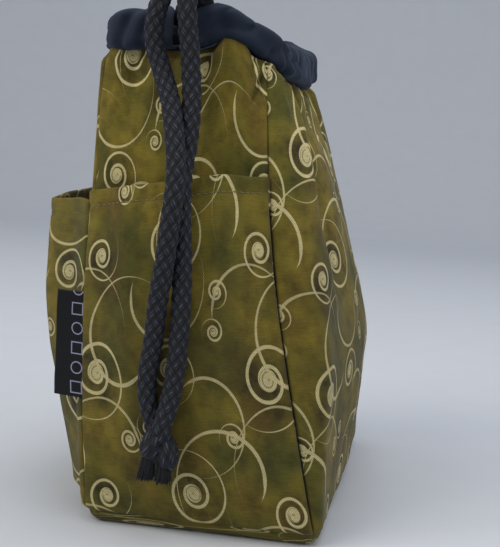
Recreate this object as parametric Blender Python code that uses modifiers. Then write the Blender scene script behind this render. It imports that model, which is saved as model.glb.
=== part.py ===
# Kinchaku drawstring pouch: a box-bottomed cloth bag with patch pockets, a
# gathered casing in two sleeves and two drawstrings that each run right round.
# Metres, +Z up. The origin is at the middle of the base, on the table.
# The narrow end with the pocket faces -Y, and the right long side faces +X.

import bpy
import bmesh
import numpy as np
from math import cos, pi, radians, sin, sqrt
from mathutils import Vector

MM = 0.001

# Overall size of the bag
BASE_WIDTH = 75 * MM
BASE_LENGTH = 138 * MM
RIM_HEIGHT = 149 * MM          # top edge of the printed walls, under the casing

# Cloth thicknesses and the air left between layers that touch
WALL_CLOTH = 0.8 * MM          # printed cotton with its interfacing
POCKET_CLOTH = 0.8 * MM
LINING_CLOTH = 0.5 * MM
CASING_CLOTH = 0.7 * MM
LABEL_CLOTH = 0.3 * MM
TOUCH_GAP = 0.3 * MM
POCKET_EASE = 0.4 * MM         # slack of the pockets at their seams
LINING_EASE = 0.9 * MM         # slack of the lining inside the walls
LINING_SHORT = 2.5 * MM        # the lining ends this far below the walls' top edge

# How the closed drawstring pulls the walls in towards the rim
NEAR_LEAN = 7 * MM             # near end, backwards
FAR_LEAN = 12 * MM             # far end, forwards
RIGHT_LEAN_NEAR = 20 * MM      # right wall at the near corner
RIGHT_LEAN_FAR = 25 * MM       # right wall at the far corner
LEFT_LEAN_FAR = 12 * MM        # left wall at the far corner
LEFT_SPREAD = 6 * MM           # left wall at the near corner, outwards
SEAM_LEAN = 22 * MM            # near right seam, leftwards

PULL_START = 0.36              # share of the height where the walls start to lean in

# Soft swelling of the filled bag
LEFT_SWELL = 8 * MM
RIGHT_SWELL = 5.5 * MM
END_SWELL = 2.5 * MM
CORNER_ROUND_BASE = 5 * MM
CORNER_ROUND_RIM = 18 * MM
LABEL_CORNER_ROUND = 15 * MM   # the near left corner stays crisper, where the label is sewn in
BASE_CURL = 5 * MM             # radius of the curled lower edge, up to the base seam

# Folds in the walls
RIDGE_DEPTH = 6 * MM           # hollow behind the soft ridge on the right wall
RIDGE_BACK = 20 * MM           # ridge line, behind the near right corner
GATHER_DEPTH = 4.5 * MM        # pleats under the casing
GATHER_REACH = 30 * MM         # height over which the pleats fade out
HEM_TILT = 8 * MM              # the end pocket's edge climbs to the right
CREST_RISE = 4.8 * MM          # the walls' top edge stands up before the near right corner
CORNER_DIP = 1.8 * MM          # drops at that corner
SIDE_SLUMP = 5 * MM            # and slumps along the right side
PLEAT_DIP = 1 * MM             # where the deep fold draws it down
RIM_WAVE = 0.8 * MM            # and its small waves elsewhere

# Pockets
END_POCKET_HEIGHT = 104 * MM
SIDE_POCKET_HEIGHT = 101 * MM
END_POCKET_SWELL = 6.5 * MM
SIDE_POCKET_SWELL = 17 * MM

# Drawstrings and casing
CORD_DIAMETER = 5.2 * MM
CORD_GAP = 0.5 * MM            # between the two cords in a sleeve, and round them
CORD_SPACING = 5 * MM          # between route points inside the casing
NEAR_MOUTH_GAP = 17 * MM       # between the sleeves at the near end
FAR_MOUTH_GAP = 20 * MM        # and at the far end
MOUTH_FLARE = 3 * MM           # the sleeves' ends stand open over the cords
NEAR_MOUTH_X = -14 * MM
FAR_MOUTH_X = -6 * MM
SLEEVE_EASE = 1.2 * MM         # room beside the cords
SLEEVE_ROOM = 0.8 * MM         # room above and below them
SLEEVE_PUFF = 2.2 * MM         # loose cloth outside the cords
SLEEVE_SQUARE = 0.5            # 1 is an oval tube, less is squarer

# How far the upper cord lies in from above the lower one: degrees at places round the rim,
# which count sides from the near left corner
STACK_LEANS = ((0.0, 52), (0.15, 42), (0.3, 38), (0.45, 48), (0.62, 62), (0.8, 70), (1.0, 70),
               (1.15, 58), (1.5, 50), (2.0, 40), (3.0, 35), (3.85, 45), (4.0, 52))

# Knots
KNOT_WIDTH = 11.5 * MM
KNOT_DEPTH = 9.5 * MM
KNOT_HEIGHT = 12.5 * MM
TUFT_LENGTH = 6 * MM
TUFT_WIDTH = 10 * MM

# Care label in the near left seam
LABEL_HEIGHT = 33.5 * MM
LABEL_REACH = 10 * MM
LABEL_BOTTOM = 39.5 * MM

# Sizes that follow from the ones above
HALF_WIDTH = BASE_WIDTH / 2
HALF_LENGTH = BASE_LENGTH / 2
WALL_FOOT = BASE_CURL + TOUCH_GAP + 0.15 * MM
LAYER = WALL_CLOTH + TOUCH_GAP
POCKET_OUT = TOUCH_GAP + POCKET_EASE + POCKET_CLOTH
CORD_RADIUS = CORD_DIAMETER / 2
CORD_PITCH = CORD_DIAMETER + CORD_GAP
CORD_COVER = CORD_RADIUS + CORD_GAP + CASING_CLOTH
CORD_INSET = CORD_COVER + SLEEVE_EASE
LOW_CORD_LEVEL = RIM_HEIGHT + CORD_COVER + SLEEVE_ROOM + TOUCH_GAP + 0.2 * MM


def bump(x, centre, width):
    return float(np.exp(-(((x - centre) / width) ** 2)))


def smooth(x):
    x = min(1.0, max(0.0, x))
    return x * x * (3 - 2 * x)


def corner_points(share):
    """Corners of the walls' outline at a share of the height, 0 at the table and 1 at the rim."""
    pull = max(0.0, (share - PULL_START) / (1 - PULL_START)) ** 1.2
    near_y = -HALF_LENGTH + NEAR_LEAN * share ** 1.5
    far_y = HALF_LENGTH - FAR_LEAN * pull
    return [
        Vector((-HALF_WIDTH - LEFT_SPREAD * sin(0.75 * pi * share), near_y, 0)),
        Vector((HALF_WIDTH - RIGHT_LEAN_NEAR * pull, near_y, 0)),
        Vector((HALF_WIDTH - RIGHT_LEAN_FAR * pull, far_y, 0)),
        Vector((-HALF_WIDTH + LEFT_LEAN_FAR * pull, far_y, 0)),
    ]


def outline(share):
    """Closed outline at a share of the height: its points, its lengths so far and its seam places."""
    corners = corner_points(share)
    rim_rounding = (LABEL_CORNER_ROUND, CORNER_ROUND_RIM, CORNER_ROUND_RIM, CORNER_ROUND_RIM)
    roundings = [CORNER_ROUND_BASE + (at_rim - CORNER_ROUND_BASE) * smooth(share) for at_rim in rim_rounding]
    swell = (END_SWELL, RIGHT_SWELL, END_SWELL, LEFT_SWELL)
    points, seams = [], []
    for side in range(4):
        start, end = corners[side], corners[(side + 1) % 4]
        before = corners[side - 1]
        along = (end - start).normalized()
        outward = Vector((along.y, -along.x, 0))
        arrive = start + (before - start).normalized() * roundings[side]
        leave = start + along * roundings[side]
        for step in range(12):
            f = step / 12
            if step == 6:
                seams.append(len(points))
            points.append(arrive * (1 - f) ** 2 + start * 2 * f * (1 - f) + leave * f * f)
        stop = end - along * roundings[(side + 1) % 4]
        for step in range(48):
            f = step / 48
            puff = swell[side] * sin(pi * f) ** 2 * sin(pi * min(1, share * 1.15)) ** 0.8 if share < 0.87 else 0
            points.append(leave.lerp(stop, f) + outward * puff)
    ring = np.array([p[:2] for p in points])
    steps = np.linalg.norm(np.roll(ring, -1, axis=0) - ring, axis=1)
    lengths = np.concatenate([[0], np.cumsum(steps)])
    places = [lengths[i] for i in seams]
    places[1] -= (SEAM_LEAN - RIGHT_LEAN_NEAR * max(0.0, (share - PULL_START) / (1 - PULL_START))) * sin(pi / 2 * share)
    return np.vstack([ring, ring[:1]]), lengths, places


def ring_point(ring, lengths, place):
    place = place % lengths[-1]
    return Vector((float(np.interp(place, lengths, ring[:, 0])), float(np.interp(place, lengths, ring[:, 1])), 0))


def pleats(side, u):
    """Depth of the gathers along a wall's top edge, inwards, as a share of the whole depth."""
    if side == 0:
        return (1.1 * bump(u, 0.63, 0.05) + 0.35 * bump(u, 0.2, 0.05) + 0.4 * bump(u, 0.42, 0.05)
                + 0.35 * bump(u, 0.95, 0.04))
    if side == 2:
        return 0.9 * bump(u, 0.3, 0.05) + 0.7 * bump(u, 0.55, 0.05) + 0.5 * bump(u, 0.8, 0.05)
    return sum(depth * bump(u, place, 0.035) for place, depth in
               ((0.09, 0.5), (0.24, 0.8), (0.38, 0.5), (0.5, 0.9), (0.64, 0.6), (0.78, 0.9), (0.9, 0.5)))


def rim_wave(side, u):
    """Rise and dip of the walls' top edge."""
    if side == 0:
        return (CREST_RISE * bump(u, 0.79, 0.09) - CORNER_DIP * smooth((u - 0.82) / 0.18)
                - PLEAT_DIP * bump(u, 0.62, 0.06))
    wave = RIM_WAVE * sin(pi * u) * sin(6 * pi * u)
    if side == 1:
        slump = CORNER_DIP + (SIDE_SLUMP - CORNER_DIP) * smooth(u / 0.12)
        wave -= slump * (1 - smooth((u - 0.6) / 0.4))
    return wave


def stack_lean(side, u):
    return radians(float(np.interp(side + u, [p[0] for p in STACK_LEANS], [p[1] for p in STACK_LEANS])))


def wall_share(z):
    return z / RIM_HEIGHT


def wall_point(side, u, z, outward=0.0, pleated=True):
    """Outer face of a wall at u along it and height z, moved outwards by a distance."""
    def face(u, z):
        share = wall_share(z)
        ring, lengths, places = outline(share)
        start = places[side]
        end = places[side + 1] if side < 3 else places[0] + lengths[-1]
        place = start + (end - start) * u
        point = ring_point(ring, lengths, place)
        ahead = ring_point(ring, lengths, place + 0.5 * MM)
        behind = ring_point(ring, lengths, place - 0.5 * MM)
        along = (ahead - behind).normalized()
        normal = Vector((along.y, -along.x, 0))
        top = max(0.0, 1 - (RIM_HEIGHT - z) / GATHER_REACH)
        inward = GATHER_DEPTH * pleats(side, u) * smooth(top) if pleated else 0.0
        if side == 1:
            hollow_place = (RIDGE_BACK + 14 * MM) / (end - start)
            inward += RIDGE_DEPTH * bump(u, hollow_place, 0.09) * smooth((share - 0.5) / 0.3)
        point -= normal * inward
        point.z = z + rim_wave(side, u) * max(0.0, share) ** 6
        return point

    point = face(u, z)
    if outward == 0.0:
        return point
    across = face(min(u + 0.01, 1.0), z) - face(max(u - 0.01, 0.0), z)
    up = face(u, z + 1 * MM) - face(u, z - 1 * MM)
    return point + across.cross(up).normalized() * outward


def make_material(name, colour, roughness):
    material = bpy.data.materials.new(name)
    material.use_nodes = True
    shader = material.node_tree.nodes["Principled BSDF"]
    shader.inputs["Base Color"].default_value = (*colour, 1)
    shader.inputs["Roughness"].default_value = roughness
    shader.inputs["Metallic"].default_value = 0
    return material


def start_scene():
    for item in list(bpy.data.objects):
        bpy.data.objects.remove(item)
    collection = bpy.data.collections.new("kinchaku_pouch")
    bpy.context.scene.collection.children.link(collection)
    return collection


def finish(item, name, material, collection):
    item.name = name
    item.data.name = name
    item.data.materials.clear()
    item.data.materials.append(material)
    for other in list(item.users_collection):
        other.objects.unlink(item)
    collection.objects.link(item)
    if item.type == "MESH":
        item.data.shade_smooth()
        item.data.set_sharp_from_angle(angle=radians(50))
    return item


def sheet(columns, rows, place, thickness):
    """A cloth sheet: a grid laid on a surface, then thickened inwards from its outer face."""
    bpy.ops.mesh.primitive_grid_add(x_subdivisions=columns, y_subdivisions=rows, size=2)
    item = bpy.context.object
    for vertex in item.data.vertices:
        vertex.co = place((vertex.co.x + 1) / 2, (vertex.co.y + 1) / 2)
    thicken(item, thickness)
    return item


def thicken(item, thickness):
    solid = item.modifiers.new("cloth thickness", "SOLIDIFY")
    solid.thickness = thickness
    solid.offset = -1


def end_inset(side):
    """The end walls run through to the corner seams, and the side walls stop short of them."""
    return 0.0 if side in (0, 2) else LAYER


def side_span(side, u, z, inset):
    """u along a wall with the same margin kept from both corner seams."""
    ring, lengths, places = outline(wall_share(z))
    start = places[side]
    end = places[side + 1] if side < 3 else places[0] + lengths[-1]
    margin = inset / (end - start)
    return margin + u * (1 - 2 * margin)


def make_wall(side, columns, rows):
    inset = end_inset(side)

    def place(u, v):
        z = WALL_FOOT + v * (RIM_HEIGHT - WALL_FOOT)
        return wall_point(side, side_span(side, u, z, inset), z)
    return sheet(columns, rows, place, WALL_CLOTH)


def end_pocket_stand(u, v):
    """How far the end pocket stands off its wall: a shallow belly, most of it under the hem."""
    across = smooth(u / 0.3) * smooth((1 - u) / 0.3)
    return END_POCKET_SWELL * across * min(1.0, 0.6 * sin(0.95 * pi * v) + 0.8 * v)


def side_pocket_stand(u, v):
    """How far the side pocket stands off its wall: baggy, and widest close behind the near seam."""
    across = smooth((1 - u) / 0.16) * smooth(u / 0.5)
    return SIDE_POCKET_SWELL * across * (0.35 * smooth(v / 0.05) + 0.65 * smooth(v / 0.75))


def make_pocket(side, columns, rows, height, tilt, stand):
    """A patch pocket over a wall, joined at the corner seams and the base seam, and open at its hem."""
    inset = end_inset(side) * 2

    def place(u, v):
        top = height + tilt * u
        z = WALL_FOOT + v * (top - WALL_FOOT)
        return wall_point(side, side_span(side, u, z, inset), z, POCKET_OUT + stand(u, v))
    return sheet(columns, rows, place, POCKET_CLOTH)


def make_base(columns, rows):
    """The base panel: flat on the table, its rim curled up to the seam with the walls."""
    curl_rows = 4
    flat_x, flat_y = 1 - 2 * curl_rows / columns, 1 - 2 * curl_rows / rows

    def place(u, v):
        across, along = 1 - 2 * u, 2 * v - 1
        over_x = max(0.0, (abs(across) - flat_x) / (1 - flat_x))
        over_y = max(0.0, (abs(along) - flat_y) / (1 - flat_y))
        x = (HALF_WIDTH - BASE_CURL) * min(1.0, abs(across) / flat_x) * (1 if across > 0 else -1)
        y = (HALF_LENGTH - BASE_CURL) * min(1.0, abs(along) / flat_y) * (1 if along > 0 else -1)
        turn = max(over_x, over_y) * pi / 2
        size = sqrt(over_x ** 2 + over_y ** 2)
        if size > 0:
            x += BASE_CURL * sin(turn) * over_x / size * (1 if across > 0 else -1)
            y += BASE_CURL * sin(turn) * over_y / size * (1 if along > 0 else -1)
        return Vector((x, y, BASE_CURL * (1 - cos(turn))))
    return sheet(columns, rows, place, WALL_CLOTH)


def make_lining(columns, rows):
    """The lining: a thin bag inside the walls, open at the rim, with a flat floor."""
    floor = WALL_CLOTH + 2 * TOUCH_GAP
    top = RIM_HEIGHT - LINING_SHORT
    mesh = bmesh.new()
    bmesh.ops.create_grid(mesh, x_segments=columns, y_segments=rows, size=1)
    for vertex in mesh.verts:
        turn, v = (vertex.co.x + 1) / 2 * 4, (vertex.co.y + 1) / 2
        side = min(3, int(turn + 1e-6))
        z = floor + v ** 1.5 * (top - floor)
        inset = LAYER + LINING_EASE + (BASE_CURL * 0.6) * (1 - smooth((z - floor) / BASE_CURL))
        inset += LINING_EASE * 2 if side == 1 else 0
        inset += 1.1 * GATHER_DEPTH * smooth(1 - (RIM_HEIGHT - z) / GATHER_REACH)
        vertex.co = lining_point(side, turn - side, z, inset)
    bmesh.ops.remove_doubles(mesh, verts=mesh.verts, dist=0.01 * MM)
    lowest = min(v.co.z for v in mesh.verts)
    rim = [e for e in mesh.edges if e.is_boundary and all(v.co.z < lowest + 0.1 * MM for v in e.verts)]
    bmesh.ops.contextual_create(mesh, geom=rim)
    bmesh.ops.recalc_face_normals(mesh, faces=mesh.faces)
    data = bpy.data.meshes.new("lining")
    mesh.to_mesh(data)
    mesh.free()
    item = bpy.data.objects.new("lining", data)
    bpy.context.scene.collection.objects.link(item)
    thicken(item, LINING_CLOTH)
    return item


def lining_point(side, u, z, inset):
    """Inner face of the walls at u and z; at a corner seam the two walls' insets are shared."""
    point = wall_point(side, u, z, -inset, pleated=False)
    if u < 1e-4:
        point = point.lerp(wall_point((side - 1) % 4, 1.0, z, -inset, pleated=False), 0.5)
    if u > 1 - 1e-4:
        point = point.lerp(wall_point((side + 1) % 4, 0.0, z, -inset, pleated=False), 0.5)
    point.z = z + rim_wave(side, u) * wall_share(z) ** 6
    return point


def evened(values, times):
    """Values round a closed line, each drawn towards its neighbours a number of times."""
    count = len(values)
    for _ in range(times):
        values = [(values[i - 1] + values[i] * 2 + values[(i + 1) % count]) / 4 for i in range(count)]
    return values


def spread(rows):
    """The rows of a closed line (x, y and other values) at even distances along it."""
    ring = np.array(rows + rows[:1])
    lengths = np.concatenate([[0], np.cumsum(np.linalg.norm(np.diff(ring[:, :2], axis=0), axis=1))])
    marks = np.linspace(0, lengths[-1], len(rows), endpoint=False)
    return [np.array([np.interp(mark, lengths, column) for column in ring.T]) for mark in marks]


def casing_ring():
    """Round the rim: the line of the lower cord, and the upper cord's place from it."""
    ring, lengths, places = outline(1.0)
    ends = [*places[1:], places[0] + lengths[-1]]
    rows = []
    count = 240
    for step in range(count):
        place = lengths[-1] * step / count
        point = ring_point(ring, lengths, place)
        ahead, behind = ring_point(ring, lengths, place + 1 * MM), ring_point(ring, lengths, place - 1 * MM)
        along = (ahead - behind).normalized()
        point -= Vector((along.y, -along.x, 0)) * CORD_INSET
        if place < places[0]:
            place += lengths[-1]
        side = max(i for i in range(4) if places[i] <= place)
        u = (place - places[side]) / (ends[side] - places[side])
        rows.append(np.array((point.x, point.y, rim_wave(side, u), stack_lean(side, u))))
    rows = spread(evened(rows, 20))
    raw = [row[2] for row in rows]
    heights = evened([max(pair) for pair in zip(raw, evened(raw, 20))], 12)
    rows = evened(rows, 80)
    points, leans = [Vector((row[0], row[1], 0)) for row in rows], [row[3] for row in rows]
    stacks = []
    for i in range(count):
        along = (points[(i + 1) % count] - points[i - 1]).normalized()
        inward = Vector((-along.y, along.x, 0))
        stacks.append((inward * sin(leans[i]) + Vector((0, 0, cos(leans[i])))) * CORD_PITCH)
    return [p + Vector((0, 0, LOW_CORD_LEVEL + h)) for p, h in zip(points, heights)], stacks


def casing_line(first, last):
    """Part of the casing between two shares of its way round: places of the lower cord and of the stack."""
    points, stacks = casing_ring()
    count = len(points)
    steps = int(round((last - first) * count))
    line = []
    for step in range(steps + 1):
        spot = (first + (last - first) * step / steps) * count
        low = int(np.floor(spot))
        part = spot - low
        line.append((points[low % count].lerp(points[(low + 1) % count], part),
                     stacks[low % count].lerp(stacks[(low + 1) % count], part)))
    return line


def mouth_shares():
    """Shares round the casing where the near and far gaps between the sleeves have their middles."""
    ring, _ = casing_ring()
    near = min(range(len(ring)), key=lambda i: abs(ring[i].x - NEAR_MOUTH_X) + (1 if ring[i].y > 0 else 0))
    far = min(range(len(ring)), key=lambda i: abs(ring[i].x - FAR_MOUTH_X) + (1 if ring[i].y < 0 else 0))
    return near / len(ring), far / len(ring)


def make_sleeve(first, last, columns, around):
    """A casing sleeve: a soft tube round both cords, gathered and puffed between them, open at both ends."""
    line = casing_line(first, last)
    count = len(line) - 1
    mesh = bmesh.new()
    bmesh.ops.create_grid(mesh, x_segments=columns, y_segments=around, size=1)
    for vertex in mesh.verts:
        f, turn = (vertex.co.x + 1) / 2, vertex.co.y * pi
        spot = f * count
        low = min(count - 1, int(spot))
        base = line[low][0].lerp(line[low + 1][0], spot - low)
        stack = line[low][1].lerp(line[low + 1][1], spot - low)
        along = (line[low + 1][0] - line[low][0]).normalized()
        outward = Vector((along.y, -along.x, 0)).normalized()
        ends = max(0.0, 1 - min(f, 1 - f) * 14)
        fold = 0.5 + 0.5 * sin(2 * pi * f * 9 + 0.9 * sin(2 * pi * f * 3))
        reach_in = abs(stack.dot(outward)) / 2
        puff = SLEEVE_PUFF * fold * (1 - ends) if cos(turn) > 0 else 0
        depth = reach_in + CORD_INSET + puff
        rise = stack.z / 2 + CORD_COVER + SLEEVE_ROOM
        rise += 0.4 * MM * fold + MOUTH_FLARE * ends ** 2 if sin(turn) > 0 else 0
        side, up = cos(turn), sin(turn)
        side = abs(side) ** SLEEVE_SQUARE * (1 if side > 0 else -1)
        up = abs(up) ** SLEEVE_SQUARE * (1 if up > 0 else -1)
        vertex.co = base + stack / 2 + outward * depth * side + Vector((0, 0, rise * up))
    bmesh.ops.remove_doubles(mesh, verts=mesh.verts, dist=0.01 * MM)
    bmesh.ops.recalc_face_normals(mesh, faces=mesh.faces)
    data = bpy.data.meshes.new("sleeve")
    mesh.to_mesh(data)
    mesh.free()
    item = bpy.data.objects.new("sleeve", data)
    bpy.context.scene.collection.objects.link(item)
    thicken(item, CASING_CLOTH)
    return item


def make_cord(route, name):
    """A drawstring: a round tube on a smooth curve through its route's points."""
    points = smooth_route(route, CORD_DIAMETER)
    data = bpy.data.curves.new(name, "CURVE")
    data.dimensions = "3D"
    data.bevel_depth = CORD_RADIUS
    data.bevel_resolution = 2
    data.use_fill_caps = True
    spline = data.splines.new("POLY")
    spline.points.add(len(points) - 1)
    for target, point in zip(spline.points, points):
        target.co = (*point, 1)
    item = bpy.data.objects.new(name, data)
    bpy.context.scene.collection.objects.link(item)
    return item


def smooth_route(route, spacing):
    """Points at an even spacing on the Catmull-Rom curve through the route."""
    route = [Vector(p) for p in route]
    padded = [route[0] * 2 - route[1], *route, route[-1] * 2 - route[-2]]
    fine = []
    for a, b, c, d in zip(padded, padded[1:], padded[2:], padded[3:]):
        for step in range(16):
            t = step / 16
            fine.append(0.5 * (2 * b + (c - a) * t + (2 * a - 5 * b + 4 * c - d) * t * t
                               + (3 * b - a - 3 * c + d) * t ** 3))
    fine.append(route[-1])
    lengths = np.concatenate([[0], np.cumsum([(q - p).length for p, q in zip(fine, fine[1:])])])
    count = int(round(lengths[-1] / spacing)) + 1
    marks = np.linspace(0, lengths[-1], count)
    return [Vector([float(np.interp(m, lengths, [p[i] for p in fine])) for i in range(3)]) for m in marks]


def casing_route(first, last, upper):
    """The stretch of a drawstring that runs round inside the casing."""
    line = casing_line(first, last)
    total = sum((b[0] - a[0]).length for a, b in zip(line, line[1:]))
    count = int(total / CORD_SPACING)
    picks = [line[int(round(i * (len(line) - 1) / count))] for i in range(count + 1)]
    return [base + stack if upper else base for base, stack in picks]


# The hanging strands, from the loop over the casing down to the knot, in millimetres
NEAR_LEFT_STRAND = [(-21.9, -52.6, 158.2), (-18.6, -53.5, 159.6), (-16.4, -56.6, 164.0), (-15.6, -61.4, 168.8),
                    (-16.2, -67.2, 170.4), (-17.9, -71.6, 167.2), (-19.9, -73.0, 161.6), (-21.0, -72.6, 155.2),
                    (-20.9, -71.8, 149.0), (-18.8, -71.8, 142.0), (-15.8, -73.2, 133.0), (-13.3, -76.0, 122.0),
                    (-12.4, -78.6, 111.0), (-12.2, -80.2, 98.0), (-12.6, -80.4, 86.0), (-14.3, -80.4, 74.0),
                    (-15.5, -80.4, 62.0), (-16.0, -80.4, 51.0), (-15.3, -80.4, 43.5), (-13.9, -80.5, 36.7)]
NEAR_RIGHT_STRAND = [(-5.5, -51.7, 157.9), (-8.6, -52.2, 159.0), (-10.3, -54.6, 162.8), (-10.3, -59.6, 168.2),
                     (-10.5, -66.0, 170.5), (-11.1, -71.0, 168.0), (-11.5, -73.2, 162.4), (-11.2, -73.0, 156.2),
                     (-10.4, -72.2, 149.5), (-9.6, -71.8, 142.0), (-8.6, -73.2, 133.0), (-7.4, -76.0, 122.0),
                     (-6.6, -78.6, 111.0), (-6.2, -80.2, 98.0), (-6.0, -80.4, 86.0), (-6.2, -80.4, 74.0),
                     (-6.9, -80.4, 62.0), (-7.8, -80.4, 51.0), (-8.3, -80.4, 43.5), (-8.3, -80.5, 36.7)]
FAR_RIGHT_STRAND = [(2.4, 47.9, 154.1), (-0.2, 50.3, 153.9), (-1.9, 54.0, 153.5), (-2.9, 58.2, 153.2),
                    (-2.6, 62.0, 150.2), (-1.2, 64.0, 143.6), (2.0, 65.6, 133.0), (6.6, 68.2, 122.0),
                    (11.4, 70.6, 111.0), (15.9, 72.6, 100.0), (20.6, 74.4, 88.0), (25.4, 75.8, 76.0),
                    (29.8, 76.2, 66.0), (32.2, 76.5, 58.7)]
FAR_LEFT_STRAND = [(-14.9, 48.6, 154.2), (-12.2, 50.8, 154.0), (-9.8, 54.4, 153.5), (-8.7, 58.6, 153.2),
                   (-8.4, 62.4, 150.2), (-7.2, 64.2, 143.6), (-4.4, 65.6, 133.0), (0.2, 68.2, 122.0),
                   (5.2, 70.6, 111.0), (9.8, 72.6, 100.0), (14.6, 74.4, 88.0), (19.4, 75.8, 76.0),
                   (23.8, 76.2, 66.2), (26.8, 76.5, 57.6)]
NEAR_KNOT = (-11.1, -80.6, 29.4)
FAR_KNOT = (31.2, 76.6, 50.2)
FAR_KNOT_TURN = 14


def make_knot(centre, turn):
    """An overhand knot as one closed lump, with the frayed ends of the cord as a tuft below it."""
    bpy.ops.mesh.primitive_uv_sphere_add(segments=16, ring_count=9, radius=0.5)
    knot = bpy.context.object
    for vertex in knot.data.vertices:
        x, y, z = vertex.co
        lump = 1 + 0.07 * sin(3 * np.arctan2(z, x) + 0.8) + 0.05 * sin(2 * np.arctan2(y, x))
        vertex.co = Vector((x * KNOT_WIDTH * lump, y * KNOT_DEPTH * lump, z * KNOT_HEIGHT * lump))
    bpy.ops.mesh.primitive_cone_add(vertices=16, radius1=TUFT_WIDTH / 2, radius2=TUFT_WIDTH / 3.2,
                                    depth=TUFT_LENGTH * 1.6)
    tuft = bpy.context.object
    for vertex in tuft.data.vertices:
        vertex.co = Vector((vertex.co.x, vertex.co.y * 0.6,
                            vertex.co.z - KNOT_HEIGHT / 2 - TUFT_LENGTH * 0.1))
    joined = knot.modifiers.new("tuft joined", "BOOLEAN")
    joined.operation = "UNION"
    joined.solver = "EXACT"
    joined.object = tuft
    knot.location = Vector(centre) * MM
    tuft.location = knot.location
    knot.rotation_euler = (0, radians(-turn), 0)
    tuft.rotation_euler = knot.rotation_euler
    tuft.hide_render = True
    tuft.display_type = "WIRE"
    return knot, tuft


def make_label():
    """A satin care label, held by one long edge in the near left seam and lying against the side pocket."""
    def place(u, v):
        z = LABEL_BOTTOM + v * LABEL_HEIGHT
        root = wall_point(0, 0.0, z, POCKET_OUT)
        reach = LABEL_REACH * (1 - u) + 0.5 * MM
        return Vector((root.x - reach, root.y - 0.6 * MM + 0.12 * reach, z + 0.03 * reach))
    return sheet(6, 8, place, LABEL_CLOTH)


def build():
    collection = start_scene()
    cutters = bpy.data.collections.new("cutters")
    bpy.context.scene.collection.children.link(cutters)
    print_cloth = make_material("olive printed cotton", (0.13, 0.115, 0.02), 0.85)
    pocket_cloth = make_material("olive printed pocket cotton", (0.12, 0.1, 0.02), 0.85)
    navy_cloth = make_material("navy plain cotton", (0.012, 0.022, 0.045), 0.85)
    lining_cloth = make_material("navy lining cotton", (0.012, 0.02, 0.04), 0.85)
    cord_cotton = make_material("dark navy braided cord", (0.01, 0.01, 0.018), 0.7)
    satin = make_material("black satin ribbon", (0.01, 0.01, 0.014), 0.45)

    walls = (("near_end_panel", 20, 16), ("right_side_panel", 30, 14), ("far_end_panel", 16, 12),
             ("left_side_panel", 24, 10))
    for side, (name, columns, rows) in enumerate(walls):
        finish(make_wall(side, columns, rows), name, print_cloth, collection)
    finish(make_base(14, 18), "base_panel", print_cloth, collection)
    near_pocket = make_pocket(0, 14, 10, END_POCKET_HEIGHT, HEM_TILT, end_pocket_stand)
    finish(near_pocket, "near_end_pocket", pocket_cloth, collection)
    side_pocket = make_pocket(3, 24, 14, SIDE_POCKET_HEIGHT, 0.0, side_pocket_stand)
    finish(side_pocket, "left_side_pocket", pocket_cloth, collection)
    finish(make_lining(40, 8), "lining", lining_cloth, collection)
    finish(make_label(), "care_label", satin, collection)

    near, far = mouth_shares()
    ring, _ = casing_ring()
    around = sum((b - a).length for a, b in zip(ring, ring[1:] + ring[:1]))
    near_half, far_half = NEAR_MOUTH_GAP / 2 / around, FAR_MOUTH_GAP / 2 / around
    finish(make_sleeve(near + near_half, far - far_half, 50, 10), "casing_right", navy_cloth, collection)
    finish(make_sleeve(far + far_half, near + 1 - near_half, 50, 10), "casing_left", navy_cloth, collection)

    inside = 6 * MM / around
    left, right = [Vector(p) * MM for p in NEAR_LEFT_STRAND], [Vector(p) * MM for p in NEAR_RIGHT_STRAND]
    loop = casing_route(near + near_half + inside, near + 1 - near_half - inside, True)
    near_cord = make_cord(right[::-1] + loop + left, "near_drawstring")
    finish(near_cord, "near_drawstring", cord_cotton, collection)
    left, right = [Vector(p) * MM for p in FAR_LEFT_STRAND], [Vector(p) * MM for p in FAR_RIGHT_STRAND]
    loop = casing_route(far + far_half + inside, far + 1 - far_half - inside, False)
    far_cord = make_cord(left[::-1] + loop + right, "far_drawstring")
    finish(far_cord, "far_drawstring", cord_cotton, collection)

    for name, centre, turn in (("near_knot", NEAR_KNOT, 0), ("far_knot", FAR_KNOT, FAR_KNOT_TURN)):
        knot, tuft = make_knot(centre, turn)
        finish(knot, name, cord_cotton, collection)
        finish(tuft, name + "_tuft_cutter", cord_cotton, cutters)


build()
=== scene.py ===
import math
import bmesh
import bpy
import numpy as np
from mathutils import Matrix, Vector, noise


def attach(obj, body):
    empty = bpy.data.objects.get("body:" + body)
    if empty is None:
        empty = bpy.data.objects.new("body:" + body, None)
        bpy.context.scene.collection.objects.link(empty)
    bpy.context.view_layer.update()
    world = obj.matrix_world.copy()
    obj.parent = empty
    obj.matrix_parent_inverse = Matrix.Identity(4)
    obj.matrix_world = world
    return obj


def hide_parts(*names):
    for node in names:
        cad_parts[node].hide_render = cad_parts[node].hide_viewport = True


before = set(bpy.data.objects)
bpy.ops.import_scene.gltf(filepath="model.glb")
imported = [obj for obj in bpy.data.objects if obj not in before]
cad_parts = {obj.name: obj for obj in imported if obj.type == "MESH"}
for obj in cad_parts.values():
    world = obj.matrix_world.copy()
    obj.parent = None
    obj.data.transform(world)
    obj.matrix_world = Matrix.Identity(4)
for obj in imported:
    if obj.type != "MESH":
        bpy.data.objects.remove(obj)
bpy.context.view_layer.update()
print("frame loaded")

mm = 0.001
fullTurn = 2 * math.pi


# small tools for materials and meshes

def linearColour(hexText):
    parts = [int(hexText[i:i + 2], 16) / 255 for i in (1, 3, 5)]
    return (*[c / 12.92 if c <= 0.04045 else ((c + 0.055) / 1.055) ** 2.4 for c in parts], 1.0)


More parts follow.
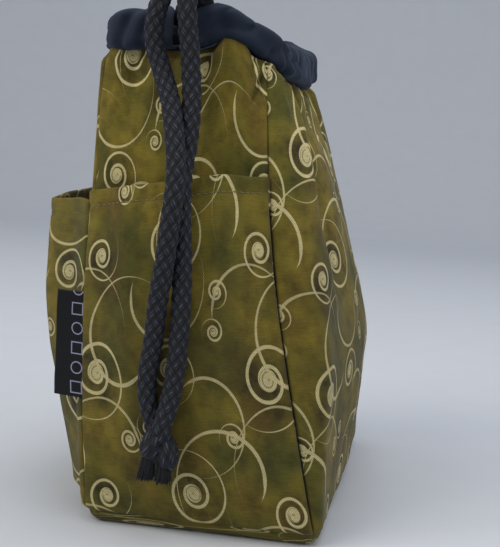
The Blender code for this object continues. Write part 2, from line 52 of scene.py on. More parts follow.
# inputs maps a socket's name or number to a value, to a socket or to a node (its first output)
def addNode(tree, kind, inputs=None, **settings):
    node = tree.nodes.new("ShaderNode" + kind)
    for name, value in settings.items():
        setattr(node, name, value)
    for key, value in (inputs or {}).items():
        if isinstance(value, bpy.types.Node):
            value = value.outputs[0]
        if isinstance(value, bpy.types.NodeSocket):
            tree.links.new(value, node.inputs[key])
        else:
            node.inputs[key].default_value = value
    return node


def newMaterial(name):
    material = bpy.data.materials.new(name)
    material.use_nodes = True
    return material, material.node_tree, material.node_tree.nodes["Principled BSDF"]


def smoothStep(x):
    x = np.clip(x, 0.0, 1.0)
    return x * x * (3 - 2 * x)


def bumpAt(x, centre, width):
    return np.exp(-((x - centre) / width) ** 2)


# gentle noise, the same every run; points is an array of positions in metres
def clothNoise(points, size, seed):
    return np.array([noise.noise(Vector(p) / size + Vector((seed * 7.3, seed * 3.1, seed))) for p in points])


# a grid of cloth laid on place(u, v); run(u, v) gives its cloth coordinates in millimetres
def clothGrid(name, columns, rows, place, run, closed=False):
    bm = bmesh.new()
    bmesh.ops.create_grid(bm, x_segments=columns, y_segments=rows, size=0.5)
    bm.verts.index_update()
    uv = np.array([(v.co.x + 0.5, v.co.y + 0.5) for v in bm.verts])
    points = place(uv[:, 0], uv[:, 1])
    runs = run(uv[:, 0], uv[:, 1]) / 100
    layer = bm.loops.layers.uv.new("cloth")
    for face in bm.faces:
        for loop in face.loops:
            loop[layer].uv = runs[loop.vert.index]
    for vertex, point in zip(bm.verts, points):
        vertex.co = point
    if closed:
        bmesh.ops.remove_doubles(bm, verts=bm.verts, dist=0.02 * mm)
    return bm


def pieceFrom(bm, name, material, nodes, thickness=0.0):
    mesh = bpy.data.meshes.new(name)
    bm.to_mesh(mesh)
    bm.free()
    piece = bpy.data.objects.new(name, mesh)
    bpy.context.scene.collection.objects.link(piece)
    mesh.materials.append(material)
    mesh.shade_smooth()
    if thickness:
        solid = piece.modifiers.new("cloth thickness", "SOLIDIFY")
        solid.thickness = thickness
        solid.offset = -1
    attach(piece, "root")
    if nodes:
        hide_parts(*nodes)
    return piece


# camera, at the photograph's angle

camera = {
    "place": (67.35 * mm, -394.06 * mm, 118.44 * mm),
    "yaw": -0.1710, "pitch": 0.1065, "roll": 0.0599,     # radians
    "focalPixels": 1100.0, "imageHeight": 547.0,
}


def addCamera():
    data = bpy.data.cameras.new("camera")
    item = bpy.data.objects.new("camera", data)
    bpy.context.scene.collection.objects.link(item)
    yaw, pitch, roll = camera["yaw"], camera["pitch"], camera["roll"]
    ahead = Vector((math.sin(yaw) * math.cos(pitch), math.cos(yaw) * math.cos(pitch), -math.sin(pitch)))
    level = Vector((math.cos(yaw), -math.sin(yaw), 0))
    upright = level.cross(ahead)
    right = level * math.cos(roll) + upright * math.sin(roll)
    up = upright * math.cos(roll) - level * math.sin(roll)
    turned = Matrix((right, up, -ahead)).transposed()
    item.matrix_world = Matrix.Translation(camera["place"]) @ turned.to_4x4()
    data.sensor_fit = "VERTICAL"
    data.sensor_height = 36
    data.sensor_width = 36
    data.lens = 36 * camera["focalPixels"] / camera["imageHeight"]
    data.clip_start = 0.02
    data.clip_end = 20
    bpy.context.scene.camera = item


addCamera()


# form of the pouch, the same surfaces as the solids

form = {
    "baseWidth": 75 * mm, "baseLength": 138 * mm, "rimHeight": 149 * mm,
    "nearLean": 7 * mm, "farLean": 12 * mm, "rightLeanNear": 20 * mm, "rightLeanFar": 25 * mm,
    "leftLeanFar": 12 * mm, "leftSpread": 6 * mm, "seamLean": 22 * mm, "pullStart": 0.36,
    "leftSwell": 8 * mm, "rightSwell": 5.5 * mm, "endSwell": 2.5 * mm,
    "cornerBase": 5 * mm, "cornerRim": 18 * mm, "labelCorner": 9 * mm, "baseCurl": 5 * mm,
    "ridgeDepth": 6 * mm, "ridgeBack": 20 * mm, "gatherDepth": 4.5 * mm, "gatherReach": 30 * mm,
    "topSpread": 1.0 * mm, "casingCorner": 9 * mm,
    "pocketOut": 1.5 * mm, "nearPocketHeight": 104 * mm, "hemTilt": 8 * mm, "sidePocketHeight": 101 * mm,
    "nearPocketSwell": 6.5 * mm, "sidePocketSwell": 17 * mm,
    "crestRise": 6.4 * mm, "cornerDip": 1.8 * mm, "sideSlump": 5 * mm, "pleatDip": 1 * mm,
    "rimWave": 0.8 * mm,
}
halfWidth, halfLength = form["baseWidth"] / 2, form["baseLength"] / 2
rimHeight = form["rimHeight"]


def pullAt(share):
    return max(0.0, (share - form["pullStart"]) / (1 - form["pullStart"]))


# closed outline at a share of the height, with its lengths so far and its seam places
def outlineAt(share, labelCorner=form["labelCorner"]):
    pull = pullAt(share) ** 1.2
    nearY = -halfLength + form["nearLean"] * share ** 1.5
    farY = halfLength - form["farLean"] * pull
    corners = [
        Vector((-halfWidth - form["leftSpread"] * math.sin(0.75 * math.pi * share)
                - form["topSpread"] * smoothStep((share - 0.65) / 0.35), nearY)),
        Vector((halfWidth - form["rightLeanNear"] * pull, nearY)),
        Vector((halfWidth - form["rightLeanFar"] * pull, farY)),
        Vector((-halfWidth + form["leftLeanFar"] * pull, farY)),
    ]
    low, high = form["cornerBase"], form["cornerRim"]
    rounds = [low + (rim - low) * smoothStep(share) for rim in (labelCorner, high, high, high)]
    swells = (form["endSwell"], form["rightSwell"], form["endSwell"], form["leftSwell"])
    fullness = math.sin(math.pi * min(1, share * 1.15)) ** 0.8 if share < 0.87 else 0
    points, seams = [], []
    for side in range(4):
        start, end, before = corners[side], corners[(side + 1) % 4], corners[side - 1]
        along = (end - start).normalized()
        outward = Vector((along.y, -along.x))
        arrive = start + (before - start).normalized() * rounds[side]
        leave = start + along * rounds[side]
        seams.append(len(points) + 6)
        for step in range(12):
            f = step / 12
            points.append(arrive * (1 - f) ** 2 + start * 2 * f * (1 - f) + leave * f * f)
        stop = end - along * rounds[(side + 1) % 4]
        for step in range(48):
            f = step / 48
            puff = swells[side] * math.sin(math.pi * f) ** 2 * fullness
            points.append(leave.lerp(stop, f) + outward * puff)
    ring = np.array([p[:] for p in points])
    steps = np.linalg.norm(np.roll(ring, -1, axis=0) - ring, axis=1)
    lengths = np.concatenate([[0], np.cumsum(steps)])
    places = [lengths[i] for i in seams]
    shift = form["seamLean"] - form["rightLeanNear"] * pullAt(share)
    places[1] -= shift * math.sin(math.pi / 2 * share)
    return np.vstack([ring, ring[:1]]), lengths, places


# table of the walls' flat outline: side, height, place along the side
tableTop, tableRows, tableColumns = 1.06, 107, 161
wallTable = np.zeros((4, tableRows, tableColumns, 2))
sideLengths = np.zeros((4, tableRows))
for row in range(tableRows):
    ring, lengths, places = outlineAt(tableTop * row / (tableRows - 1))
    ends = [*places[1:], places[0] + lengths[-1]]
    for side in range(4):
        along = np.linspace(places[side], ends[side], tableColumns) % lengths[-1]
        wallTable[side, row, :, 0] = np.interp(along, lengths, ring[:, 0])
        wallTable[side, row, :, 1] = np.interp(along, lengths, ring[:, 1])
        sideLengths[side, row] = ends[side] - places[side]


def pleatsAt(side, u):
    if side == 0:
        spots = ((0.63, 1.1, 0.05), (0.2, 0.35, 0.05), (0.42, 0.4, 0.05), (0.95, 0.35, 0.04))
    elif side == 2:
        spots = ((0.3, 0.9, 0.05), (0.55, 0.7, 0.05), (0.8, 0.5, 0.05))
    else:
        spots = [(place, depth, 0.035) for place, depth in
                 ((0.09, 0.5), (0.24, 0.8), (0.38, 0.5), (0.5, 0.9), (0.64, 0.6), (0.78, 0.9), (0.9, 0.5))]
    return sum(depth * bumpAt(u, place, width) for place, depth, width in spots)


def rimWave(side, u):
    if side == 0:
        return (form["crestRise"] * bumpAt(u, 0.755, 0.12) - form["cornerDip"] * smoothStep((u - 0.82) / 0.18)
                - form["pleatDip"] * bumpAt(u, 0.58, 0.05))
    wave = form["rimWave"] * np.sin(math.pi * u) * np.sin(6 * math.pi * u)
    if side == 1:
        slump = form["cornerDip"] + (form["sideSlump"] - form["cornerDip"]) * smoothStep(u / 0.12)
        wave = wave - slump * (1 - smoothStep((u - 0.6) / 0.4))
    return wave


def tableAt(side, u, z):
    row = np.clip(z / rimHeight / tableTop, 0, 1) * (tableRows - 1)
    column = np.clip(u, 0, 1) * (tableColumns - 1)
    r = np.minimum(row.astype(int), tableRows - 2)
    c = np.minimum(column.astype(int), tableColumns - 2)
    fr, fc = (row - r)[:, None], (column - c)[:, None]
    wall = wallTable[side]
    lower = wall[r, c] * (1 - fc) + wall[r, c + 1] * fc
    upper = wall[r + 1, c] * (1 - fc) + wall[r + 1, c + 1] * fc
    length = np.interp(z / rimHeight / tableTop, np.linspace(0, 1, tableRows), sideLengths[side])
    return lower * (1 - fr) + upper * fr, length


# outer face of a wall at u along it and height z, as arrays
def wallFace(side, u, z, pleated=True):
    flat, length = tableAt(side, u, z)
    ahead, _ = tableAt(side, u + 0.012, z)
    behind, _ = tableAt(side, u - 0.012, z)
    along = ahead - behind
    along /= np.linalg.norm(along, axis=1)[:, None]
    share = z / rimHeight
    near = np.maximum(0, 1 - (rimHeight - z) / form["gatherReach"])
    inward = form["gatherDepth"] * pleatsAt(side, u) * smoothStep(near) if pleated else np.zeros(len(u))
    if side == 1:
        hollow = (form["ridgeBack"] + 14 * mm) / length
        inward = inward + form["ridgeDepth"] * bumpAt(u, hollow, 0.09) * smoothStep((share - 0.5) / 0.3)
    x = flat[:, 0] - along[:, 1] * inward
    y = flat[:, 1] + along[:, 0] * inward
    return np.column_stack([x, y, z + rimWave(side, u) * np.maximum(0, share) ** 6])


# the face moved outwards along its own normal by an array of distances
def wallPoint(side, u, z, outward, pleated=True):
    point = wallFace(side, u, z, pleated)
    ahead = wallFace(side, np.minimum(u + 0.012, 1), z, pleated)
    behind = wallFace(side, np.maximum(u - 0.012, 0), z, pleated)
    rise = wallFace(side, u, z + 1.2 * mm, pleated) - wallFace(side, u, z - 1.2 * mm, pleated)
    normal = np.cross(ahead - behind, rise)
    normal /= np.linalg.norm(normal, axis=1)[:, None]
    return point + normal * np.asarray(outward)[:, None]


# line of the lower cord in the casing, and the upper cord's place from it
casing = {
    "level": 154.1 * mm, "inset": 5.0 * mm, "cover": 3.8 * mm, "room": 0.3 * mm, "pitch": 5.7 * mm,
    "nearMouthX": -14 * mm, "farMouthX": -6 * mm, "nearMouthGap": 17 * mm, "farMouthGap": 20 * mm,
    "puff": 2.4 * mm, "flare": 2.0 * mm, "cloth": 0.7 * mm, "square": 0.62, "tuck": 1.8 * mm,
    "lipDrop": 1.9 * mm, "lipOut": 1.1 * mm, "leftFull": 2.6 * mm,
    # how far the lower lips reach into the gaps between the sleeves
    "overRight": 6.8 * mm, "overLeft": 4.5 * mm, "overFar": 3.5 * mm,
    # degrees that the upper cord lies in from above the lower one, by place round the rim in sides
    "leans": ((0.0, 66), (0.15, 52), (0.3, 42), (0.45, 60), (0.6, 84), (0.8, 90), (1.0, 84),
              (1.15, 66), (1.5, 52), (2.0, 40), (3.0, 35), (3.8, 50), (4.0, 66)),
}


def evened(rows, times):
    for _ in range(times):
        rows = (np.roll(rows, 1, axis=0) + rows * 2 + np.roll(rows, -1, axis=0)) / 4
    return rows


# the outline at the rim as marks, each with its side and place along that side
def rimMarks(count):
    _, lengths, places = outlineAt(1.0, form["casingCorner"])
    ends = [*places[1:], places[0] + lengths[-1]]
    for mark in lengths[-1] * np.arange(count) / count:
        mark = mark + lengths[-1] if mark < places[0] else mark
        side = max(i for i in range(4) if places[i] <= mark)
        yield side, float((mark - places[side]) / (ends[side] - places[side]))


def casingRing():
    ring, lengths, _ = outlineAt(1.0, form["casingCorner"])
    count = 240
    marks = lengths[-1] * np.arange(count) / count

    def flatAt(place):
        place = place % lengths[-1]
        return np.column_stack([np.interp(place, lengths, ring[:, i]) for i in (0, 1)])

    flat, along = flatAt(marks), flatAt(marks + 1 * mm) - flatAt(marks - 1 * mm)
    along /= np.linalg.norm(along, axis=1)[:, None]
    inset = flat + np.column_stack([-along[:, 1], along[:, 0]]) * casing["inset"]
    places, degrees = zip(*casing["leans"])
    extras = np.array([(rimWave(side, u), math.radians(np.interp(side + u, places, degrees)))
                       for side, u in rimMarks(count)])
    rows = evened(np.column_stack([inset, extras]), 20)
    closed = np.vstack([rows, rows[:1]])
    gone = np.concatenate([[0], np.cumsum(np.linalg.norm(np.diff(closed[:, :2], axis=0), axis=1))])
    rows = np.column_stack([np.interp(np.linspace(0, gone[-1], count, endpoint=False), gone, column)
                            for column in closed.T])
    heights = evened(np.maximum(rows[:, 2], evened(rows[:, 2], 12)), 7)
    rows = evened(rows, 80)
    ahead = np.roll(rows[:, :2], -1, axis=0) - np.roll(rows[:, :2], 1, axis=0)
    ahead /= np.linalg.norm(ahead, axis=1)[:, None]
    leans = rows[:, 3:4]
    inner = np.column_stack([-ahead[:, 1], ahead[:, 0]])
    stacks = np.hstack([inner * np.sin(leans), np.cos(leans)]) * casing["pitch"]
    return np.column_stack([rows[:, :2], heights + casing["level"]]), stacks


ringPoints, ringStacks = casingRing()
ringCount = len(ringPoints)
ringAround = float(np.linalg.norm(np.roll(ringPoints, -1, axis=0) - ringPoints, axis=1).sum())


# share of the way round where the ring passes a place x at its near or far end
def mouthShare(x, far):
    misses = [abs(point[0] - x) + ((point[1] > 0) != far) for point in ringPoints]
    return misses.index(min(misses)) / ringCount


nearMouth, farMouth = mouthShare(casing["nearMouthX"], False), mouthShare(casing["farMouthX"], True)
nearHalf, farHalf = casing["nearMouthGap"] / 2 / ringAround, casing["farMouthGap"] / 2 / ringAround


# rows of a table round the casing at an array of shares of the way round
def ringAt(share, table):
    spot = (np.asarray(share) * ringCount) % ringCount
    low = np.floor(spot).astype(int)
    part = (spot - low)[:, None]
    return table[low % ringCount] * (1 - part) + table[(low + 1) % ringCount] * part


# drawstrings: two braided cotton cords, each run right round the casing and tied

cords = {
    "diameter": 5.2 * mm, "spacing": 5 * mm, "straight": 6 * mm,
    "plaits": 6, "plaitRise": 4.4 * mm, "relief": 0.9 * mm,
    "around": 56, "fineStep": 0.4 * mm, "coarseStep": 1.3 * mm,
    "nearLength": 0.564, "farLength": 0.498,                     # metres, knot to knot
    "nearHidden": (0.27, 0.73), "farHidden": (0.22, 0.78),       # shares of the length that lie in the casing
}
# the strands' points, in millimetres, from the casing to the knot
nearLeftStrand = [
    (-21.9, -52.6, 158.2), (-18.6, -53.5, 159.6), (-15.6, -56.6, 163.6), (-14.7, -61.4, 168.2),
    (-15.2, -67.2, 170.2), (-17.4, -71.6, 167.2), (-20.0, -73.0, 161.6), (-21.3, -72.6, 155.2),
    (-20.9, -71.8, 149.0), (-18.4, -72.2, 142.0), (-14.6, -75.4, 133.0), (-11.4, -80.2, 122.0),
    (-9.6, -83.6, 111.0), (-10.2, -85.4, 98.0), (-11.5, -84.5, 86.0), (-13.4, -82.6, 74.0),
    (-14.6, -81.0, 62.0), (-16.0, -80.4, 51.0), (-15.3, -80.2, 43.5), (-13.5, -79.4, 36.7),
    (-12.9, -79.6, 33.0)]
nearRightStrand = [
    (-5.5, -51.7, 157.9), (-8.6, -52.2, 159.0), (-10.3, -54.6, 162.8), (-10.3, -59.6, 168.2),
    (-10.5, -66.0, 170.5), (-11.1, -71.0, 168.0), (-11.5, -73.2, 162.4), (-11.2, -73.0, 156.2),
    (-10.4, -72.2, 149.5), (-9.6, -71.8, 142.0), (-8.6, -73.2, 133.0), (-8.4, -75.8, 122.0),
    (-9.0, -78.4, 111.0), (-8.2, -80.0, 98.0), (-7.2, -80.4, 86.0), (-6.8, -80.4, 74.0),
    (-7.0, -80.4, 62.0), (-7.8, -80.4, 51.0), (-8.8, -81.4, 43.5), (-10.2, -82.2, 36.7),
    (-10.6, -81.4, 32.0)]
farRightStrand = [
    (2.4, 47.9, 154.1), (-0.2, 50.3, 153.9), (-1.9, 54.0, 153.5), (-2.9, 58.2, 153.2),
    (-2.6, 62.0, 150.2), (-1.2, 64.0, 143.6), (2.0, 65.6, 133.0), (6.6, 68.2, 122.0),
    (11.4, 70.6, 111.0), (15.9, 72.6, 100.0), (20.6, 74.4, 88.0), (25.4, 75.8, 76.0),
    (29.8, 76.2, 66.0), (32.2, 76.5, 58.7), (32.3, 76.6, 53.0)]
farLeftStrand = [
    (-14.9, 48.6, 154.2), (-12.2, 50.8, 154.0), (-9.8, 54.4, 153.5), (-8.7, 58.6, 153.2),
    (-8.4, 62.4, 150.2), (-7.2, 64.2, 143.6), (-4.4, 65.6, 133.0), (0.2, 68.2, 122.0),
    (5.2, 70.6, 111.0), (9.8, 72.6, 100.0), (14.6, 74.4, 88.0), (19.4, 75.8, 76.0),
    (23.8, 76.2, 66.2), (27.0, 76.5, 58.2), (29.4, 76.6, 53.4)]


def casingRoute(first, last, upper):
    count = int((last - first) * ringAround / cords["spacing"])
    shares = np.linspace(first, last, count + 1)
    return [Vector(p) for p in ringAt(shares, ringPoints + ringStacks * upper)]


# smooth curve through the route, in fine steps
def throughRoute(route):
    padded = [route[0] * 2 - route[1], *route, route[-1] * 2 - route[-2]]
    fine = []
    for a, b, c, d in zip(padded, padded[1:], padded[2:], padded[3:]):
        for step in range(24):
            t = step / 24
            fine.append(0.5 * (2 * b + (c - a) * t + (2 * a - 5 * b + 4 * c - d) * t * t
                               + (3 * b - a - 3 * c + d) * t ** 3))
    fine.append(route[-1])
    return np.array(fine)


# even marks on a fine line, closer where it shows
def spacedLine(fine, hidden):
    steps = np.linalg.norm(fine[1:] - fine[:-1], axis=1)
    lengths = np.concatenate([[0], np.cumsum(steps)])
    marks, place = [0.0], 0.0
    while place < lengths[-1] - cords["fineStep"]:
        inside = hidden[0] < place / lengths[-1] < hidden[1]
        place += cords["coarseStep"] if inside else cords["fineStep"]
        marks.append(min(place, lengths[-1]))
    marks[-1] = lengths[-1]
    marks = np.array(marks)
    return np.column_stack([np.interp(marks, lengths, fine[:, i]) for i in range(3)]), marks


# side and upward directions that turn as little as they can along a line
def alongFrames(points):
    ahead = np.gradient(points, axis=0)
    ahead /= np.linalg.norm(ahead, axis=1)[:, None]
    sides = np.zeros_like(points)
    side = np.cross(ahead[0], (0.3, 0.9, 0.1))
    for i, direction in enumerate(ahead):
        side = side - direction * side.dot(direction)
        side /= np.linalg.norm(side)
        sides[i] = side
    return sides, np.cross(ahead, sides)


def plaitHeight(turn, run):
    first = turn * cords["plaits"] + run / cords["plaitRise"]
    second = turn * cords["plaits"] - run / cords["plaitRise"]
    a, b = first % 1, second % 1
    over = (np.floor(first) + np.floor(second)) % 2 < 1
    across, along = np.where(over, a, b), np.where(over, b, a)
    return 0.66 * (1 - (2 * across - 1) ** 2) + 0.34 * (1 - (2 * along - 1) ** 2)


# a braided tube round a line; the bmesh gets it as one closed skin
def braidTube(bm, line, marks, radius, around):
    layer = bm.loops.layers.uv.get("cord") or bm.loops.layers.uv.new("cord")
    sides, ups = alongFrames(line)
    rings = len(line)
    made = bmesh.ops.create_grid(bm, x_segments=around, y_segments=rings - 1, size=0.5)["verts"]
    turn = np.array([v.co.x + 0.5 for v in made])
    index = np.rint(np.array([v.co.y + 0.5 for v in made]) * (rings - 1)).astype(int)
    run = marks[index]
    reach = radius - cords["relief"] * 0.45 + cords["relief"] * plaitHeight(turn, run)
    angle = turn * fullTurn
    spokes = np.cos(angle)[:, None] * sides[index] + np.sin(angle)[:, None] * ups[index]
    points = line[index] + spokes * reach[:, None]
    where = {v: i for i, v in enumerate(made)}
    for face in {f for v in made for f in v.link_faces}:
        for loop in face.loops:
            i = where[loop.vert]
            loop[layer].uv = (turn[i], run[i] / cords["plaitRise"])
    for vertex, point in zip(made, points):
        vertex.co = point
    bmesh.ops.remove_doubles(bm, verts=made, dist=0.01 * mm)
    openEdges = [e for e in bm.edges if e.is_boundary]
    bmesh.ops.holes_fill(bm, edges=openEdges, sides=around)


def makeCordMaterial():
    # dark navy cotton-polyester braid: matt yarns with a soft sheen; the colour follows the plait relief,
    # near black in the grooves as painted shade and pale on the crowns as a painted highlight
    material, tree, shader = newMaterial("braided cotton cord")
    place = addNode(tree, "UVMap", uv_map="cord")
    parts = addNode(tree, "SeparateXYZ", {0: place})
    turn = addNode(tree, "Math", {0: parts.outputs[0], 1: float(cords["plaits"])}, operation="MULTIPLY")
    first = addNode(tree, "Math", {0: turn, 1: parts.outputs[1]}, operation="ADD")
    second = addNode(tree, "Math", {0: turn, 1: parts.outputs[1]}, operation="SUBTRACT")
    a = addNode(tree, "Math", {0: first}, operation="FRACT")
    b = addNode(tree, "Math", {0: second}, operation="FRACT")
    rows = [addNode(tree, "Math", {0: diagonal}, operation="FLOOR") for diagonal in (first, second)]
    cells = addNode(tree, "Math", {0: rows[0], 1: rows[1]}, operation="ADD")
    parity = addNode(tree, "Math", {0: cells, 1: 2.0}, operation="FLOORED_MODULO")
    over = addNode(tree, "Math", {0: parity, 1: 0.5}, operation="LESS_THAN")
    across = addNode(tree, "Mix", {0: over, 2: b, 3: a})
    along = addNode(tree, "Mix", {0: over, 2: a, 3: b})
    # each plait is about three yarns wide, 0.7 mm a yarn
    angles = [addNode(tree, "Math", {0: way, 1: size}, operation="MULTIPLY")
              for way, size in ((across, 3 * fullTurn), (across, math.pi), (along, math.pi))]
    yarns, hump, arch = [addNode(tree, "Math", {0: angle}, operation="SINE") for angle in angles]
    relief = addNode(tree, "Math", {0: hump, 1: arch}, operation="MULTIPLY")
    fibre = addNode(tree, "TexNoise", {"Vector": addNode(tree, "TexCoord").outputs["Object"],
                                       "Scale": 1600.0, "Detail": 2.0})
    tone = addNode(tree, "Math", {0: yarns, 1: 0.5, 2: fibre.outputs[0]}, operation="MULTIPLY_ADD")
    yarnToneAndPaintedShade = addNode(tree, "Math", {0: tone, 1: relief}, operation="MULTIPLY")
    # painted shade and highlight: the ramp runs from near black in the plaits' grooves to pale blue on their
    # crowns, over the yarn and fibre tone
    colour = addNode(tree, "ValToRGB", {0: yarnToneAndPaintedShade})
    ramp = colour.color_ramp
    ramp.elements[0].color = linearColour("#05060a")
    ramp.elements[0].position = 0.05
    ramp.elements[1].color = linearColour("#3a3d58")
    ramp.elements[1].position = 0.95
    ramp.elements.new(0.5).color = linearColour("#0e1018")
    tree.links.new(colour.outputs[0], shader.inputs["Base Color"])
    rough = addNode(tree, "MapRange", {0: yarnToneAndPaintedShade, 3: 0.82, 4: 0.5})
    tree.links.new(rough.outputs[0], shader.inputs["Roughness"])
    height = addNode(tree, "Math", {0: yarns, 1: 0.35, 2: fibre.outputs[0]}, operation="MULTIPLY_ADD")
    bump = addNode(tree, "Bump", {"Height": height, "Strength": 0.7, "Distance": 0.12 * mm})
    tree.links.new(bump.outputs[0], shader.inputs["Normal"])
    shader.inputs["Sheen Weight"].default_value = 0.25
    shader.inputs["Sheen Roughness"].default_value = 0.4
    shader.inputs["Sheen Tint"].default_value = linearColour("#5a6088")
    return material


cordMaterial = makeCordMaterial()

knots = {
    "near": (-11.1 * mm, -80.8 * mm, 30.1 * mm), "far": (31.2 * mm, 76.6 * mm, 50.2 * mm), "farTurn": 14,
    "wrapRadius": 2.6 * mm, "fibreRadius": 0.25 * mm, "fibres": 170, "tuftLength": 7.4 * mm,
}


# an overhand knot: a level wrap beside an upright one, with the two frayed ends under it
def makeKnot(name, centre, turn, node):
    bm = bmesh.new()
    angles = np.linspace(0, fullTurn, 97)
    wave, swing = np.cos(angles), np.sin(angles)
    level = np.column_stack([-1.9 + 0.8 * wave, 1.5 * swing, 1.0 + 0.9 * wave - 0.7 * np.sin(2 * angles)])
    upright = np.column_stack([2.7 - 0.45 * swing, 1.4 * wave, -1.5 + 2.3 * swing])
    for line, size in ((level * mm, 1.16), (upright * mm, 0.96)):
        steps = np.linalg.norm(line[1:] - line[:-1], axis=1)
        braidTube(bm, line, np.concatenate([[0], np.cumsum(steps)]), knots["wrapRadius"] * size, 40)
    core = bmesh.ops.create_uvsphere(bm, u_segments=28, v_segments=18, radius=1.0)["verts"]
    for vertex in core:
        x, y, z = vertex.co
        vertex.co = Vector((x * 3.9 - 0.2, y * 2.8, z * 5.0 - 0.3)) * mm
    rng = np.random.default_rng(11)
    for bundle, top, lean in ((-2.9, -2.9, -1.5), (1.7, -4.2, -0.3)):
        for _ in range(knots["fibres"]):
            angle, spread = rng.uniform(0, fullTurn), math.sqrt(rng.uniform(0, 1))
            out = Vector((math.cos(angle), 0.75 * math.sin(angle), 0)) * spread
            length = (knots["tuftLength"] / mm + 0.5 * (top + 3)) * rng.uniform(0.86, 1.0)
            curl = Vector(rng.normal(0, 0.35, 3))
            steps = [0, 0.35, 0.7, 1.0]
            start, fall = Vector((bundle, 0, top)), Vector((lean * 0.7, 0, -length))
            line = np.array([start + out * (2.0 + 0.5 * s) + fall * s + curl * s * s for s in steps]) * mm
            sides, ups = alongFrames(line)
            made = bmesh.ops.create_grid(bm, x_segments=5, y_segments=3, size=0.5)["verts"]
            for vertex in made:
                i = int(round((vertex.co.y + 0.5) * 3))
                a = (vertex.co.x + 0.5) * fullTurn
                thin = knots["fibreRadius"] * (1.0, 1.15, 1.0, 0.45)[i]
                vertex.co = line[i] + (math.cos(a) * sides[i] + math.sin(a) * ups[i]) * thin
            bmesh.ops.remove_doubles(bm, verts=made, dist=0.01 * mm)
    bmesh.ops.recalc_face_normals(bm, faces=bm.faces)
    bmesh.ops.rotate(bm, verts=bm.verts, cent=(0, 0, 0), matrix=Matrix.Rotation(math.radians(-turn), 3, "Y"))
    bmesh.ops.translate(bm, verts=bm.verts, vec=centre)
    return pieceFrom(bm, name, cordMaterial, [node])


def makeCord(name, route, hidden, node):
    fine = throughRoute(route)
    line, marks = spacedLine(fine, hidden)
    bm = bmesh.new()
    braidTube(bm, line, marks, cords["diameter"] / 2, cords["around"])
    bmesh.ops.recalc_face_normals(bm, faces=bm.faces)
    piece = pieceFrom(bm, name, cordMaterial, [node])
    print(name, "length", round(float(marks[-1]), 4), "rings", len(line))


def strandPoints(strand):
    return [Vector(p) * mm for p in strand]


straightShare = cords["straight"] / ringAround
nearKnot = makeKnot("near_knot_tied", knots["near"], 0, "near_knot")
farKnot = makeKnot("far_knot_tied", knots["far"], knots["farTurn"], "far_knot")
nearLoop = casingRoute(nearMouth + nearHalf + straightShare, nearMouth + 1 - nearHalf - straightShare, 1)
farLoop = casingRoute(farMouth + farHalf + straightShare, farMouth + 1 - farHalf - straightShare, 0)
nearRoute = strandPoints(nearRightStrand)[::-1] + nearLoop + strandPoints(nearLeftStrand)
farRoute = strandPoints(farLeftStrand)[::-1] + farLoop + strandPoints(farRightStrand)
makeCord("near_drawstring_braid", nearRoute, cords["nearHidden"], "near_drawstring")
makeCord("far_drawstring_braid", farRoute, cords["farHidden"], "far_drawstring")
print("cords and knots made")


# printed cotton: mottled olive ground with cream scrolls

cottonPrint = {
    # millimetres; real threads lie 0.4 mm apart and are drawn coarser to show
    "tile": (66.0, 74.0), "thread": 0.7, "curl": 1.1,
    "edge": 4.5,                                # how fast the ink begins, in shares of it a millimetre
    "gold": "#7a6a20", "green": "#525017", "brown": "#543a12", "dark": "#1f1b09", "cream": "#cdbf8a",
}
# centre x, y, start turn, hand, disc radius, reach, growth a turn, half line width, tone
printScrolls = [
    (15, 19, 0.10, 1, 2.7, 17.5, 2.25, 0.62, 1.0), (47, 53, 0.55, -1, 3.3, 19.0, 2.35, 0.66, 1.0),
    (49, 15, 0.80, 1, 2.2, 11.5, 2.3, 0.55, 1.0), (12, 56, 0.35, -1, 2.4, 12.5, 2.2, 0.58, 0.95),
    (32, 37, 0.62, 1, 1.2, 6.5, 2.3, 0.5, 0.95), (31, 4, 0.20, -1, 1.1, 6.0, 2.4, 0.48, 0.9),
    (60, 34, 0.05, 1, 1.3, 6.8, 2.2, 0.5, 0.95), (29, 67, 0.45, 1, 1.0, 5.5, 2.3, 0.45, 0.85),
    (2, 38, 0.90, -1, 1.2, 6.0, 2.3, 0.48, 0.9),
]
# long thin strokes, parts of wide scrolls: the same numbers, with where each starts instead of a disc
printStrokes = [
    (30, 24, 0.30, 1, 10.0, 27.0, 3.6, 0.75, 0.95), (60, 62, 0.75, -1, 10.0, 27.0, 3.2, 0.75, 0.9),
    (8, 4, 0.60, 1, 9.0, 24.0, 4.0, 0.65, 0.85), (40, 70, 0.15, -1, 11.0, 26.0, 4.2, 0.6, 0.75),
    (22, 44, 0.95, -1, 9.0, 24.0, 3.8, 0.6, 0.85), (52, 30, 0.42, 1, 12.0, 27.0, 3.4, 0.6, 0.8),
]


scrollSockets = ("Cloth", "Centre", "Turn", "Hand", "Start", "Reach", "Growth", "Half width", "Tone", "Disc")


